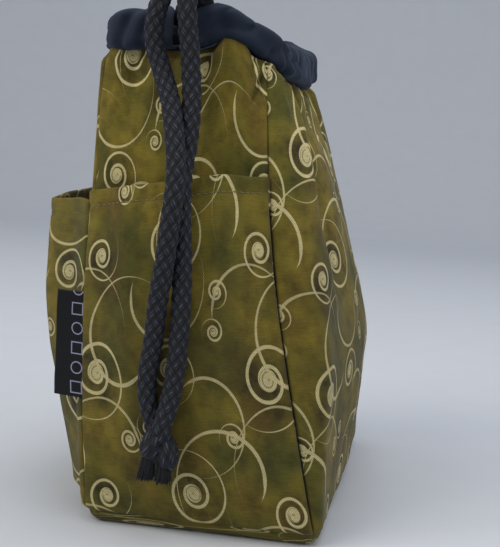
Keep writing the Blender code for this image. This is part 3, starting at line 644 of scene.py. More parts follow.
# one scroll: a curling line that widens to a disc in its middle, thin at its outer end
def makeScrollGroup():
    group = bpy.data.node_groups.new("printed scroll", "ShaderNodeTree")
    for name in scrollSockets:
        kind = "Vector" if name in ("Cloth", "Centre") else "Float"
        group.interface.new_socket(name, in_out="INPUT", socket_type="NodeSocket" + kind)
    for name in ("Line", "Halo"):
        group.interface.new_socket(name, in_out="OUTPUT", socket_type="NodeSocketFloat")
    given = group.nodes.new("NodeGroupInput").outputs
    offset = addNode(group, "VectorMath", {0: given["Cloth"], 1: given["Centre"]}, operation="SUBTRACT")
    width, height = cottonPrint["tile"]
    corners = {1: (width / 2, height / 2, 1), 2: (-width / 2, -height / 2, -1)}
    wrapped = addNode(group, "VectorMath", {0: offset, **corners}, operation="WRAP")
    parts = addNode(group, "SeparateXYZ", {0: wrapped})
    sideways = addNode(group, "Math", {0: parts.outputs[0], 1: given["Hand"]}, operation="MULTIPLY")
    angle = addNode(group, "Math", {0: parts.outputs[1], 1: sideways}, operation="ARCTAN2")
    angleTurns = addNode(group, "Math", {0: angle, 1: fullTurn}, operation="DIVIDE")
    distance = addNode(group, "VectorMath", {0: wrapped}, operation="LENGTH").outputs[1]
    ratio = addNode(group, "Math", {0: distance, 1: 2.0}, operation="DIVIDE")
    turns = addNode(group, "Math", {0: ratio, 1: given["Growth"]}, operation="LOGARITHM")
    unwound = addNode(group, "Math", {0: turns, 1: angleTurns}, operation="SUBTRACT")
    arm = addNode(group, "Math", {0: unwound, 1: given["Turn"]}, operation="SUBTRACT")
    nearest = addNode(group, "Math", {0: arm}, operation="ROUND")
    fromLine = addNode(group, "Math", {0: arm, 1: nearest}, operation="SUBTRACT")
    off = addNode(group, "Math", {0: fromLine}, operation="ABSOLUTE")
    steep = addNode(group, "Math", {0: given["Growth"], 1: math.e}, operation="LOGARITHM")
    offRun = addNode(group, "Math", {0: off, 1: distance}, operation="MULTIPLY")
    across = addNode(group, "Math", {0: offRun, 1: steep}, operation="MULTIPLY")
    thinFrom = addNode(group, "Math", {0: given["Reach"], 1: 0.5}, operation="MULTIPLY")
    half = addNode(group, "MapRange", {0: distance, 1: thinFrom, 2: given["Reach"], 3: given["Half width"],
                                       4: -0.16})
    inLine = addNode(group, "Math", {0: half, 1: across}, operation="SUBTRACT")
    edge = addNode(group, "Math", {0: inLine, 1: cottonPrint["edge"]}, operation="MULTIPLY", use_clamp=True)
    begun = addNode(group, "Math", {0: distance, 1: given["Start"]}, operation="GREATER_THAN")
    line = addNode(group, "Math", {0: edge, 1: begun}, operation="MULTIPLY")
    inDisc = addNode(group, "Math", {0: given["Start"], 1: distance}, operation="SUBTRACT")
    discEdge = addNode(group, "Math", {0: inDisc, 1: cottonPrint["edge"]}, operation="MULTIPLY",
                       use_clamp=True)
    # fine dark curl inside the disc
    curlRuns = addNode(group, "Math", {0: distance, 1: cottonPrint["curl"]}, operation="DIVIDE")
    curl = addNode(group, "Math", {0: curlRuns, 1: angleTurns}, operation="SUBTRACT")
    curlWave = addNode(group, "Math", {0: curl, 1: 1.0}, operation="PINGPONG")
    curlOff = addNode(group, "Math", {0: curlWave, 1: 0.22}, operation="LESS_THAN")
    curlShade = addNode(group, "Math", {0: curlOff, 1: -0.55, 2: 1.0}, operation="MULTIPLY_ADD")
    curled = addNode(group, "Math", {0: discEdge, 1: curlShade}, operation="MULTIPLY")
    disc = addNode(group, "Math", {0: curled, 1: given["Disc"]}, operation="MULTIPLY")
    both = addNode(group, "Math", {0: line, 1: disc}, operation="MAXIMUM")
    toned = addNode(group, "Math", {0: both, 1: given["Tone"]}, operation="MULTIPLY")
    wide = addNode(group, "Math", {0: given["Reach"], 1: 0.85}, operation="MULTIPLY")
    halo = addNode(group, "MapRange", {0: distance, 1: 0.0, 2: wide, 3: 1.0, 4: 0.0},
                   interpolation_type="SMOOTHSTEP")
    shade = addNode(group, "Math", {0: halo, 1: given["Disc"]}, operation="MULTIPLY")
    end = group.nodes.new("NodeGroupOutput")
    group.links.new(toned.outputs[0], end.inputs["Line"])
    group.links.new(shade.outputs[0], end.inputs["Halo"])
    return group


# plain weave: crossing threads at a spacing in millimetres, as a height from 0 to 1
def weaveHeight(tree, cloth, thread):
    wobble = addNode(tree, "TexNoise", {"Vector": cloth, "Scale": 0.35, "Detail": 2.0})
    drift = addNode(tree, "VectorMath", {0: wobble.outputs[1], 1: (0.9, 0.9, 0)}, operation="MULTIPLY")
    moved = addNode(tree, "VectorMath", {0: drift, 1: cloth}, operation="ADD")
    parts = addNode(tree, "SeparateXYZ", {0: moved})
    angles = [addNode(tree, "Math", {0: parts.outputs[i], 1: fullTurn / thread}, operation="MULTIPLY")
              for i in (0, 1)]
    waves = [addNode(tree, "Math", {0: angle}, operation="SINE") for angle in angles]
    crossed = addNode(tree, "Math", {0: waves[0], 1: waves[1]}, operation="MULTIPLY")
    drawn = addNode(tree, "VectorMath", {0: cloth, 1: (0.25, 2.4, 1)}, operation="MULTIPLY")
    slub = addNode(tree, "TexNoise", {"Vector": drawn, "Scale": 1.0, "Detail": 2.0})
    crowns = addNode(tree, "Math", {0: crossed, 1: 0.3, 2: 0.3}, operation="MULTIPLY_ADD")
    return addNode(tree, "Math", {0: slub, 1: 0.4, 2: crowns}, operation="MULTIPLY_ADD")


def clothCoordinates(tree):
    place = addNode(tree, "UVMap", uv_map="cloth")
    return addNode(tree, "VectorMath", {0: place, 1: (100, 100, 0)}, operation="MULTIPLY")


def makePrintMaterial():
    # quilting cotton, printed on one side: matt, threads just visible, colours mottled like dyed batik
    material, tree, shader = newMaterial("printed quilting cotton")
    cloth = clothCoordinates(tree)
    scroll = makeScrollGroup()
    line, halo = 0.0, 0.0
    for x, y, *others in [(*row, 1.0) for row in printScrolls] + [(*row, 0.0) for row in printStrokes]:
        values = dict(zip(scrollSockets, (cloth, (x, y, 0), *others)))
        motif = addNode(tree, "Group", values, node_tree=scroll)
        line = addNode(tree, "Math", {0: line, 1: motif.outputs[0]}, operation="MAXIMUM")
        halo = addNode(tree, "Math", {0: halo, 1: motif.outputs[1]}, operation="MAXIMUM")
    dyes = {name: linearColour(cottonPrint[name]) for name in ("gold", "green", "brown", "dark", "cream")}
    broad = addNode(tree, "TexNoise", {"Vector": cloth, "Scale": 1 / 24, "Detail": 2.0})
    moved = addNode(tree, "VectorMath", {0: cloth, 1: (37, 11, 5)}, operation="ADD")
    warm = addNode(tree, "TexNoise", {"Vector": moved, "Scale": 1 / 17, "Detail": 3.0, "Roughness": 0.6})
    blotch = addNode(tree, "TexNoise", {"Vector": cloth, "Scale": 1 / 7, "Detail": 5.0, "Roughness": 0.6})
    ground = addNode(tree, "ValToRGB", {0: broad})
    ground.color_ramp.elements[0].color = dyes["green"]
    ground.color_ramp.elements[0].position = 0.38
    ground.color_ramp.elements[1].color = dyes["gold"]
    ground.color_ramp.elements[1].position = 0.6
    rusty = addNode(tree, "MapRange", {0: warm, 1: 0.48, 2: 0.7, 3: 0.0, 4: 0.6})
    browned = addNode(tree, "Mix", {0: rusty, 6: ground, 7: dyes["brown"]}, data_type="RGBA")
    blotchDark = addNode(tree, "MapRange", {0: blotch, 1: 0.42, 2: 0.7, 3: 0.0, 4: 0.5})
    haloDark = addNode(tree, "Math", {0: halo, 1: blotch, 2: blotchDark}, operation="MULTIPLY_ADD",
                       use_clamp=True)
    darkened = addNode(tree, "Mix", {0: haloDark, 6: browned.outputs[2], 7: dyes["dark"]}, data_type="RGBA")
    weave = weaveHeight(tree, cloth, cottonPrint["thread"])
    worn = addNode(tree, "MapRange", {0: blotch, 1: 0.3, 2: 0.75, 3: 1.0, 4: 0.72})
    inked = addNode(tree, "Math", {0: line, 1: worn}, operation="MULTIPLY")
    printed = addNode(tree, "Mix", {0: inked, 6: darkened.outputs[2], 7: dyes["cream"]}, data_type="RGBA")
    threadShade = addNode(tree, "MapRange", {0: weave, 1: 0.1, 2: 0.9, 3: 0.38, 4: 1.62})
    # painted light and shade: the colour is a little darker in the lower half of the bag and brighter towards
    # the top, where the light falls
    spot = addNode(tree, "SeparateXYZ", {0: addNode(tree, "TexCoord").outputs["Object"]})
    depth = addNode(tree, "MapRange", {0: spot.outputs[2], 1: 0.07, 2: 0.125, 3: 0.82, 4: 1.12})
    threadsAndPaintedLight = addNode(tree, "Math", {0: threadShade, 1: depth}, operation="MULTIPLY")
    shaded = addNode(tree, "VectorMath", {0: printed.outputs[2], 1: threadsAndPaintedLight}, operation="MULTIPLY")
    tree.links.new(shaded.outputs[0], shader.inputs["Base Color"])
    rough = addNode(tree, "MapRange", {0: blotch, 3: 0.78, 4: 0.92})
    tree.links.new(rough.outputs[0], shader.inputs["Roughness"])
    bump = addNode(tree, "Bump", {"Height": weave, "Strength": 0.55, "Distance": 0.1 * mm})
    tree.links.new(bump.outputs[0], shader.inputs["Normal"])
    shader.inputs["Sheen Weight"].default_value = 0.05
    shader.inputs["Sheen Roughness"].default_value = 0.5
    shader.inputs["Specular IOR Level"].default_value = 0.3
    return material


plainCotton = {
    # darkest and lightest dye, thread spacing in millimetres, sheen
    "casing": ("#0a0f18", "#212d40", 0.5, 0.12),
    "lining": ("#10161f", "#232f42", 0.45, 0.1),
}


def makePlainCotton(name, low, high, thread, sheen):
    # plain woven cotton in one dye: matt, darker between the threads, lighter where it is rubbed
    material, tree, shader = newMaterial(name)
    cloth = clothCoordinates(tree)
    weave = weaveHeight(tree, cloth, thread)
    worn = addNode(tree, "TexNoise", {"Vector": cloth, "Scale": 1 / 9, "Detail": 4.0})
    rubbed = addNode(tree, "Math", {0: worn, 1: 0.5, 2: -0.1}, operation="MULTIPLY_ADD")
    tone = addNode(tree, "Math", {0: weave, 1: 0.7, 2: rubbed}, operation="MULTIPLY_ADD", use_clamp=True)
    colour = addNode(tree, "Mix", {0: tone, 6: linearColour(low), 7: linearColour(high)}, data_type="RGBA")
    tree.links.new(colour.outputs[2], shader.inputs["Base Color"])
    rough = addNode(tree, "MapRange", {0: worn, 3: 0.75, 4: 0.92})
    tree.links.new(rough.outputs[0], shader.inputs["Roughness"])
    bump = addNode(tree, "Bump", {"Height": weave, "Strength": 0.5, "Distance": 0.1 * mm})
    tree.links.new(bump.outputs[0], shader.inputs["Normal"])
    shader.inputs["Sheen Weight"].default_value = sheen
    shader.inputs["Sheen Roughness"].default_value = 0.45
    shader.inputs["Sheen Tint"].default_value = linearColour("#8fa3c4")
    shader.inputs["Specular IOR Level"].default_value = 0.3
    return material


printedCotton = makePrintMaterial()
navyCotton = makePlainCotton("navy plain cotton", *plainCotton["casing"])
liningCotton = makePlainCotton("navy lining cotton", *plainCotton["lining"])
print("cotton materials made")


# walls, pockets and base

walls = {
    "cloth": 0.6 * mm, "seamRoll": 1.5 * mm, "seamDepth": 1.0 * mm, "foot": 4.5 * mm, "top": 149.4 * mm,
    "flatWidths": (80.0, 144.0, 80.0, 144.0),                    # millimetres, by side
    "softFolds": 0.8 * mm, "foldSize": 24 * mm, "creases": 0.22 * mm, "creaseSize": 6 * mm,
    "gathers": 2.0 * mm, "gatherSize": 4.6 * mm, "gatherFade": 12 * mm, "tuckedIn": 1.6 * mm,
}


# cloth turns in to its seam over a short quarter round
def seamDip(distance):
    t = np.clip(1 - distance / walls["seamRoll"], 0, 1)
    return walls["seamDepth"] * (1 - np.sqrt(1 - t * t))


# soft dents, small creases, and short gathers under the casing
def clothRelief(side, u, z, seed):
    points = wallFace(side, u, z, False)
    relief = walls["softFolds"] * clothNoise(points, walls["foldSize"], seed)
    relief += walls["creases"] * clothNoise(points * np.array((1, 1, 0.55)), walls["creaseSize"], seed + 5)
    below = np.maximum(0, rimHeight - z)
    run = u * walls["flatWidths"][side] * mm
    waves = clothNoise(np.column_stack([run, 0.25 * z, 0 * z]), walls["gatherSize"], seed + 9)
    relief += walls["gathers"] * waves * np.exp(-below / walls["gatherFade"]) * smoothStep(below / (5 * mm))
    return relief - walls["tuckedIn"] * smoothStep(1 - below / (4 * mm))


def wallRun(side, bottom, top, shift):
    def run(u, v):
        return np.column_stack([u * walls["flatWidths"][side] + shift[0],
                                (bottom + v * (top - bottom)) / mm + shift[1]])
    return run


def makeWall(name, node, side, columns, rows, seed, shift, extra=None):
    bottom, top = walls["foot"], walls["top"]

    def place(u, v):
        z = bottom + v * (top - bottom)
        _, length = tableAt(side, u, z)
        out = clothRelief(side, u, z, seed) - seamDip(np.minimum(u, 1 - u) * length) - seamDip(z - bottom)
        if extra is not None:
            out += extra(u, z)
        return wallPoint(side, u, z, out)
    bm = clothGrid(name, columns, rows, place, wallRun(side, bottom, top, shift))
    piece = pieceFrom(bm, name, printedCotton, [node], walls["cloth"])


# a soft ridge on the right wall, slanting back as it goes down, with a hollow behind it
def rightRidge(u, z):
    run = u * walls["flatWidths"][1] * mm
    middle = 14 * mm + 0.22 * (rimHeight - z)
    strength = smoothStep((z - 55 * mm) / (35 * mm)) * smoothStep((rimHeight - z) / (14 * mm))
    hollow = 2.4 * bumpAt(run, middle + 17 * mm, 10 * mm)
    return strength * mm * (1.9 * bumpAt(run, middle, 6.5 * mm) - hollow)


# tucks that show below the casing at the near end
def nearTucks(u, z):
    slant, level = (z - 138 * mm) / (160 * mm), bumpAt(z, 139 * mm, 7 * mm)
    return mm * level * (0.9 * bumpAt(u, 0.895 + slant, 0.02) - 1.5 * bumpAt(u, 0.925 + slant, 0.014))


pockets = {
    "cloth": 0.55 * mm, "foldRadius": 0.75 * mm, "facing": 9 * mm, "hemAllowance": 12 * mm, "outerShare": 0.9,
    "stitchDrop": 4.2 * mm, "stitchDip": 0.3 * mm,
    "stitchPitch": 2.5 * mm, "stitchLength": 1.7 * mm, "stitchWidth": 0.4 * mm,
}


def nearStand(u, v):
    across = smoothStep(u / 0.3) * smoothStep((1 - u) / 0.3)
    return form["nearPocketSwell"] * across * np.minimum(1.0, 0.6 * np.sin(0.95 * math.pi * v) + 0.8 * v)


def sideStand(u, v):
    across = smoothStep((1 - u) / 0.16) * smoothStep(u / 0.5)
    return form["sidePocketSwell"] * across * (0.48 * smoothStep(v / 0.05) + 0.52 * smoothStep(v / 0.75))


# the pocket's outer face: up from the base seam to the hem fold
def pocketFace(side, u, z, top, stand, seed, lift=0.0):
    bottom = walls["foot"]
    _, length = tableAt(side, u, z)
    v = np.clip((z - bottom) / (top - bottom), 0, 1)
    below = top - z
    relief = 0.8 * walls["softFolds"] * clothNoise(wallFace(side, u, z, False), 27 * mm, seed)
    relief += walls["creases"] * clothNoise(wallFace(side, u, z, False), 7 * mm, seed + 4)
    relief -= pockets["stitchDip"] * bumpAt(below, pockets["stitchDrop"], 0.8 * mm)
    relief += 0.25 * mm * smoothStep(1 - below / pockets["stitchDrop"])       # three layers in the hem
    dips = seamDip(np.minimum(u, 1 - u) * length) + seamDip(z - bottom)
    return wallPoint(side, u, z, form["pocketOut"] + stand(u, v) + relief - dips + lift)


def makePocket(name, node, side, columns, rows, height, tilt, stand, seed, shift, wave):
    bottom, share = walls["foot"], pockets["outerShare"]

    def place(u, v):
        top = height + tilt * u + wave(u)
        climb = np.clip(v / share, 0, 1)
        over = np.clip((v - share) / (1 - share), 0, 1)
        turned, down = np.clip(over / 0.3, 0, 1), np.clip((over - 0.3) / 0.7, 0, 1)
        radius = pockets["foldRadius"]
        angle = turned * math.pi
        z = bottom + climb * (top - bottom) - down * pockets["facing"]
        back = radius * (1 - np.cos(angle))
        points = pocketFace(side, u, np.minimum(z, top), top, stand, seed, -back)
        points[:, 2] += radius * np.sin(angle)
        return points
    run = wallRun(side, bottom, bottom + (height - bottom) / share, shift)
    bm = clothGrid(name, columns, rows, place, run)
    piece = pieceFrom(bm, name, printedCotton, [node], pockets["cloth"])


# a row of machine stitches on a pocket, below its hem
def makeStitches(name, side, height, tilt, stand, seed, wave):
    count = int(walls["flatWidths"][side] * mm / pockets["stitchPitch"]) - 2
    u = (np.arange(count) + 1.5) / (count + 2)
    top = height + tilt * u + wave(u)
    level = top - pockets["stitchDrop"]
    ends = [pocketFace(side, u + shift, level, top, stand, seed, 0.12 * mm) for shift in (-0.004, 0.004)]
    bm = bmesh.new()
    bm.loops.layers.uv.new("cloth")
    for start, stop in zip(*ends):
        along = Vector(stop - start).normalized()
        upward = Vector((0, 0, 1))
        out = along.cross(upward).normalized()
        made = bmesh.ops.create_icosphere(bm, subdivisions=2, radius=0.5)["verts"]
        middle = Vector((start + stop) / 2)
        for vertex in made:
            x, y, z = vertex.co
            vertex.co = (middle + along * x * pockets["stitchLength"] + out * y * pockets["stitchWidth"]
                         + upward * z * pockets["stitchWidth"])
    pieceFrom(bm, name, threadMaterial, [])


def makeThread():
    # polyester sewing thread: slightly glossy, dark olive so that the stitches read as small dashes
    material, tree, shader = newMaterial("olive sewing thread")
    place = addNode(tree, "TexCoord").outputs["Object"]
    twist = addNode(tree, "TexNoise", {"Vector": place, "Scale": 2200.0})
    low, high = linearColour("#4a4328"), linearColour("#857c56")
    tone = addNode(tree, "Mix", {0: twist, 6: low, 7: high}, data_type="RGBA")
    tree.links.new(tone.outputs[2], shader.inputs["Base Color"])
    shader.inputs["Roughness"].default_value = 0.55
    return material


threadMaterial = makeThread()


def makeBase():
    curl, rows = form["baseCurl"], 4
    flatX, flatY = 1 - 2 * rows / 14, 1 - 2 * rows / 18

    def place(u, v):
        across, along = 1 - 2 * u, 2 * v - 1
        overX = np.clip((np.abs(across) - flatX) / (1 - flatX), 0, 1)
        overY = np.clip((np.abs(along) - flatY) / (1 - flatY), 0, 1)
        x = (halfWidth - curl) * np.minimum(1, np.abs(across) / flatX) * np.sign(across)
        y = (halfLength - curl) * np.minimum(1, np.abs(along) / flatY) * np.sign(along)
        turn = np.maximum(overX, overY) * math.pi / 2
        size = np.maximum(np.sqrt(overX ** 2 + overY ** 2), 1e-6)
        reach = curl * np.sin(turn)
        x += reach * overX / size * np.sign(across)
        y += reach * overY / size * np.sign(along)
        z = curl * (1 - np.cos(turn))
        return np.column_stack([x, y, z])

    def run(u, v):
        return np.column_stack([u * 80, v * 144])
    bm = clothGrid("base_bottom", 98, 126, place, run)
    piece = pieceFrom(bm, "base_bottom", printedCotton, ["base_panel"], walls["cloth"])


lining = {"floor": 1.4 * mm, "drop": 2.5 * mm, "layer": 1.1 * mm, "ease": 0.9 * mm, "cloth": 0.4 * mm}


def makeLining():
    floor, top = lining["floor"], rimHeight - lining["drop"]

    def place(u, v):
        turn = u * 4
        z = floor + v ** 1.5 * (top - floor)
        curled = 0.6 * form["baseCurl"] * (1 - smoothStep((z - floor) / form["baseCurl"]))
        gathered = 1.1 * form["gatherDepth"] * smoothStep(1 - (rimHeight - z) / form["gatherReach"])
        into = lining["layer"] + lining["ease"] + curled + gathered
        points, waves = np.zeros((len(u), 3)), np.zeros(len(u))
        weight = np.zeros(len(u))
        for side in range(4):
            local = turn - side
            local = np.where((side == 0) & (turn > 4 - 1e-6), 0, local)
            local = np.where((side == 3) & (turn < 1e-6), 1, local)
            here = (local >= -1e-6) & (local <= 1 + 1e-6)
            extra = 2 * lining["ease"] if side == 1 else 0
            points[here] += wallPoint(side, np.clip(local[here], 0, 1), z[here], -(into[here] + extra), False)
            waves[here] += rimWave(side, np.clip(local[here], 0, 1))
            weight[here] += 1
        points /= weight[:, None]
        dents = 0.8 * mm * clothNoise(points, 20 * mm, 31)
        points[:, 0] -= dents * np.sign(points[:, 0]) * (np.abs(points[:, 0]) > 10 * mm)
        points[:, 2] = z + waves / weight * (z / rimHeight) ** 6
        return points

    def run(u, v):
        return np.column_stack([u * 448, v * 148])
    bm = clothGrid("lining_bag", 160, 60, place, run, closed=True)
    lowest = min(v.co.z for v in bm.verts)
    floorEdges = [e for e in bm.edges if e.is_boundary and all(v.co.z < lowest + 0.1 * mm for v in e.verts)]
    bmesh.ops.contextual_create(bm, geom=floorEdges)
    bmesh.ops.recalc_face_normals(bm, faces=bm.faces)
    piece = pieceFrom(bm, "lining_bag", liningCotton, ["lining"], lining["cloth"])


def still(u):
    return np.zeros(len(u))


def sideHemWave(u):
    wave = 1.8 * np.sin(fullTurn * 1.3 * u) * smoothStep(u / 0.1) - 2.6 * bumpAt(u, 0.86, 0.12)
    return mm * wave * smoothStep((1 - u) / 0.06)


makeBase()
makeWall("near_end_wall", "near_end_panel", 0, 150, 190, 3, (0, 20), nearTucks)
makeWall("right_side_wall", "right_side_panel", 1, 190, 150, 4, (31, 7), rightRidge)
makeWall("far_end_wall", "far_end_panel", 2, 110, 150, 6, (12, 41))
makeWall("left_side_wall", "left_side_panel", 3, 170, 130, 8, (44, 30))
print("walls made")
makePocket("near_end_patch_pocket", "near_end_pocket", 0, 150, 190, form["nearPocketHeight"], form["hemTilt"],
           nearStand, 12, (40, 5), still)
makePocket("left_side_patch_pocket", "left_side_pocket", 3, 190, 150, form["sidePocketHeight"], 0.0,
           sideStand, 14, (9, 52), sideHemWave)
makeStitches("near_hem_stitches", 0, form["nearPocketHeight"], form["hemTilt"], nearStand, 12, still)
makeStitches("left_hem_stitches", 3, form["sidePocketHeight"], 0.0, sideStand, 14, sideHemWave)
print("pockets made")
makeLining()


# casing: two navy sleeves round the cords, gathered by them

pleatShares = [float(pleatsAt(side, u)) for side, u in rimMarks(ringCount)]
pleatDepths = form["gatherDepth"] * np.array(pleatShares)[:, None]


# overFirst and overLast lengthen the lower lip at the two ends, full is extra depth near the last end,
# tuck is a fold's place along the sleeve, and past the share calm the folds are shallow
def makeSleeve(name, node, first, last, seed, overFirst, overLast, full, tuck, calm):
    length = (last - first) * ringAround

    def place(u, v):
        turn = (v - 0.5) * fullTurn
        slant = smoothStep(0.85 + 0.6 * np.cos(turn) - 0.65 * np.sin(turn)) / ringAround
        over = overLast * smoothStep(u / 0.06 - 15.67) - overFirst * smoothStep(1 - u / 0.06)
        share = first + (last - first) * u + slant * over
        stack = ringAt(share, ringStacks)
        along = ringAt(share + 0.004, ringPoints) - ringAt(share - 0.004, ringPoints)
        outward = np.column_stack([along[:, 1], -along[:, 0], np.zeros(len(u))])
        outward /= np.linalg.norm(outward, axis=1)[:, None]
        pleat = ringAt(share, pleatDepths)[:, 0]
        ends = np.maximum(0, 1 - np.minimum(u, 1 - u) * 14)
        up, side = np.sin(turn), np.cos(turn)
        power = casing["square"]
        up, side = np.sign(up) * np.abs(up) ** power, np.sign(side) * np.abs(side) ** power
        places = np.column_stack([u * length, up * 5 * mm, np.zeros(len(u))])
        folds = clothNoise(places, 9 * mm, seed)
        valleys = np.exp(-(folds / 0.1) ** 2)
        outer = side > 0
        depth = np.abs((stack * outward).sum(axis=1)) / 2 + casing["inset"]
        quiet = 1 - 0.7 * smoothStep((u - calm) / 0.12)
        puffed = casing["puff"] * (0.5 + 1.2 * folds * quiet) * (1 - ends)
        depth += (puffed - 1.5 * mm * valleys * quiet) * outer
        depth += 0.25 * mm * clothNoise(places, 2.6 * mm, seed + 3) * quiet
        tucked = bumpAt(u * length, tuck + 1.6 * mm * up, 1.0 * mm)
        beside = bumpAt(u * length, tuck + 1.6 * mm * up + 3.2 * mm, 1.6 * mm)
        depth -= casing["tuck"] * (tucked - 0.7 * beside) * outer
        depth += full * smoothStep((u - 0.72) / 0.14) * smoothStep(side)
        inward = pleat * np.where(up < 0, 0.5, 0.3) * outer * (1 - ends) * quiet
        lip = smoothStep((side - 0.2) / 0.5) * smoothStep((-up - 0.1) / 0.6)
        rise = stack[:, 2] / 2 + casing["cover"] + casing["room"]
        rise += np.where(up > 0, 0.7 * mm * (folds * quiet - tucked) + casing["flare"] * ends ** 2, 0)
        reach = depth * side - inward + casing["lipOut"] * lip
        points = ringAt(share, ringPoints) + stack / 2 + outward * reach[:, None]
        points[:, 2] += rise * up - casing["lipDrop"] * lip * (0.8 + 0.5 * folds)
        return points

    def run(u, v):
        return np.column_stack([u * length / mm, v * 38])
    bm = clothGrid(name, 300, 56, place, run, closed=True)
    piece = pieceFrom(bm, name, navyCotton, [node], casing["cloth"])


# the right sleeve's tuck lies before its start, so that sleeve shows none
makeSleeve("casing_sleeve_right", "casing_right", nearMouth + nearHalf, farMouth - farHalf, 21,
           casing["overRight"], casing["overFar"], 0.0, -20 * mm, 0.3)
makeSleeve("casing_sleeve_left", "casing_left", farMouth + farHalf, nearMouth + 1 - nearHalf, 27,
           casing["overFar"], casing["overLeft"], casing["leftFull"], 112 * mm, 1.2)
print("casing made")


# care label in the near left seam

label = {
    "height": 33.5 * mm, "reach": 10 * mm, "bottom": 39.5 * mm, "cloth": 0.25 * mm,
    "ground": "#08080c", "thread": "#9a97b4",
    # millimetres: the satin's ribs, and the marks' pitch, place across, half size and half line width
    "ribs": 0.5, "markPitch": 6.2, "markPlace": 7.3, "markSize": 1.8, "markLine": 0.19,
}


def makeSatin():
    # woven polyester satin ribbon: smooth and softly glossy along its threads, near black
    material, tree, shader = newMaterial("black satin ribbon")
    cloth = clothCoordinates(tree)
    parts = addNode(tree, "SeparateXYZ", {0: cloth})
    angle = addNode(tree, "Math", {0: parts.outputs[1], 1: fullTurn / label["ribs"]}, operation="MULTIPLY")
    ribs = addNode(tree, "Math", {0: angle}, operation="SINE")
    # a column of plain shapes, woven in pale thread
    place = addNode(tree, "Math", {0: parts.outputs[1], 1: label["markPitch"]}, operation="DIVIDE")
    number = addNode(tree, "Math", {0: place}, operation="FLOOR")
    within = addNode(tree, "Math", {0: place}, operation="FRACT")
    centred = addNode(tree, "Math", {0: within, 1: 0.5}, operation="SUBTRACT")
    down = addNode(tree, "Math", {0: centred, 1: label["markPitch"]}, operation="MULTIPLY")
    across = addNode(tree, "Math", {0: parts.outputs[0], 1: label["markPlace"]}, operation="SUBTRACT")
    wide = addNode(tree, "Math", {0: across}, operation="ABSOLUTE")
    tall = addNode(tree, "Math", {0: down}, operation="ABSOLUTE")
    square = addNode(tree, "Math", {0: wide, 1: tall}, operation="MAXIMUM")
    squares = addNode(tree, "Math", {0: wide, 1: wide}, operation="MULTIPLY")
    summed = addNode(tree, "Math", {0: tall, 1: tall, 2: squares}, operation="MULTIPLY_ADD")
    circle = addNode(tree, "Math", {0: summed, 1: 0.5}, operation="POWER")
    parity = addNode(tree, "Math", {0: number, 1: 2.0}, operation="FLOORED_MODULO")
    odd = addNode(tree, "Math", {0: parity, 1: 0.5}, operation="GREATER_THAN")
    shape = addNode(tree, "Mix", {0: odd, 2: square, 3: circle})
    fromRim = addNode(tree, "Math", {0: shape, 1: label["markSize"]}, operation="SUBTRACT")
    rim = addNode(tree, "Math", {0: fromRim}, operation="ABSOLUTE")
    drawn = addNode(tree, "Math", {0: rim, 1: label["markLine"]}, operation="LESS_THAN")
    woven = addNode(tree, "Math", {0: drawn, 1: 0.8}, operation="MULTIPLY")
    low, high = linearColour(label["ground"]), linearColour(label["thread"])
    colour = addNode(tree, "Mix", {0: woven, 6: low, 7: high}, data_type="RGBA")
    tree.links.new(colour.outputs[2], shader.inputs["Base Color"])
    rough = addNode(tree, "MapRange", {0: ribs, 1: -1.0, 2: 1.0, 3: 0.38, 4: 0.5})
    tree.links.new(rough.outputs[0], shader.inputs["Roughness"])
    bump = addNode(tree, "Bump", {"Height": ribs, "Strength": 0.2, "Distance": 0.04 * mm})
    tree.links.new(bump.outputs[0], shader.inputs["Normal"])
    shader.inputs["Anisotropic"].default_value = 0.4
    shader.inputs["Specular IOR Level"].default_value = 0.25
    return material


def makeLabel():
    def place(u, v):
        z = label["bottom"] + v * label["height"]
        root = pocketFace(0, np.zeros(len(u)), z, form["nearPocketHeight"], nearStand, 12, 0.0)
        reach = label["reach"] * (1 + 0.12 * (0.5 - v)) * (1 - u) + 0.5 * mm
        sway = 0.5 * mm * np.sin(math.pi * v * 1.3 + 0.5) * (1 - u)
        x = root[:, 0] - reach + 1.0 * mm
        y = root[:, 1] - 0.6 * mm + 0.12 * reach + sway
        return np.column_stack([x, y, z + 0.03 * reach])

    def run(u, v):
        return np.column_stack([u * 10, v * 33.5])
    bm = clothGrid("care_label_ribbon", 24, 60, place, run)
    piece = pieceFrom(bm, "care_label_ribbon", makeSatin(), ["care_label"], label["cloth"])


makeLabel()
print("label made")


# floor, backdrop and light

studio = {
    "floorColour": "#cdd0d4", "grainColour": "#d2d5d9", "worldColour": "#dde3ee", "worldStrength": 0.55,
    "width": 8.0, "length": 5.2, "front": 1.8, "bendStart": 1.2, "bendRadius": 0.64,     # metres
}


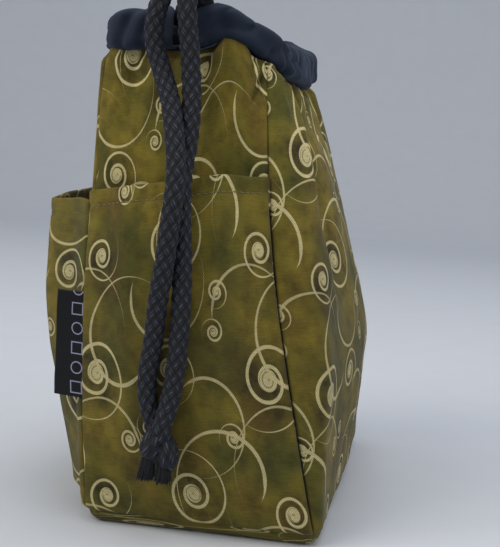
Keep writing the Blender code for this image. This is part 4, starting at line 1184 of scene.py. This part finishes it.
def makeStage():
    material, tree, shader = newMaterial("pale studio paper")      # matt paper, no gloss
    grain = addNode(tree, "TexNoise", {"Vector": addNode(tree, "TexCoord").outputs["Object"], "Scale": 40.0})
    low, high = linearColour(studio["floorColour"]), linearColour(studio["grainColour"])
    tint = addNode(tree, "Mix", {0: grain, 6: low, 7: high}, data_type="RGBA")
    tree.links.new(tint.outputs[2], shader.inputs["Base Color"])
    shader.inputs["Roughness"].default_value = 0.9
    bm = bmesh.new()
    bmesh.ops.create_grid(bm, x_segments=8, y_segments=60, size=0.5)
    start, radius = studio["bendStart"], studio["bendRadius"]
    for vertex in bm.verts:
        run = (vertex.co.y + 0.5) * studio["length"] - studio["front"]
        angle = min(max(run - start, 0.0), 1.0) * math.pi / 2
        y = min(run, start) + math.sin(angle) * radius
        z = (1 - math.cos(angle)) * radius + max(run - start - 1.0, 0.0)
        vertex.co = (vertex.co.x * studio["width"], y, z)
    mesh = bpy.data.meshes.new("studio_floor")
    bm.to_mesh(mesh)
    bm.free()
    floor = bpy.data.objects.new("studio_floor", mesh)
    bpy.context.scene.collection.objects.link(floor)
    mesh.materials.append(material)
    mesh.shade_smooth()


def addLamp(name, place, target, size, power, colour):
    data = bpy.data.lights.new(name, "AREA")
    data.shape = "RECTANGLE"
    data.size, data.size_y = size
    data.energy = power
    data.color = linearColour(colour)[:3]
    lamp = bpy.data.objects.new(name, data)
    bpy.context.scene.collection.objects.link(lamp)
    lamp.location = place
    lamp.rotation_mode = "QUATERNION"
    lamp.rotation_quaternion = (Vector(target) - Vector(place)).to_track_quat("-Z", "Y")


makeStage()
addLamp("window", (-0.75, -0.75, 0.95), (0, 0, 0.09), (0.9, 0.9), 8.5, "#fffaf2")
addLamp("ceiling", (0.15, 0.1, 1.15), (0, 0, 0.08), (0.9, 0.9), 5.0, "#f4f7ff")
addLamp("bounce", (0.95, -0.35, 0.45), (0, 0, 0.08), (0.8, 0.8), 2.2, "#fff8ee")

world = bpy.data.worlds.new("studio")
bpy.context.scene.world = world
world.use_nodes = True
sky = world.node_tree.nodes["Background"]
sky.inputs[0].default_value = linearColour(studio["worldColour"])
sky.inputs[1].default_value = studio["worldStrength"]
bpy.context.scene.view_settings.view_transform = "Standard"
print("floor and lights set")
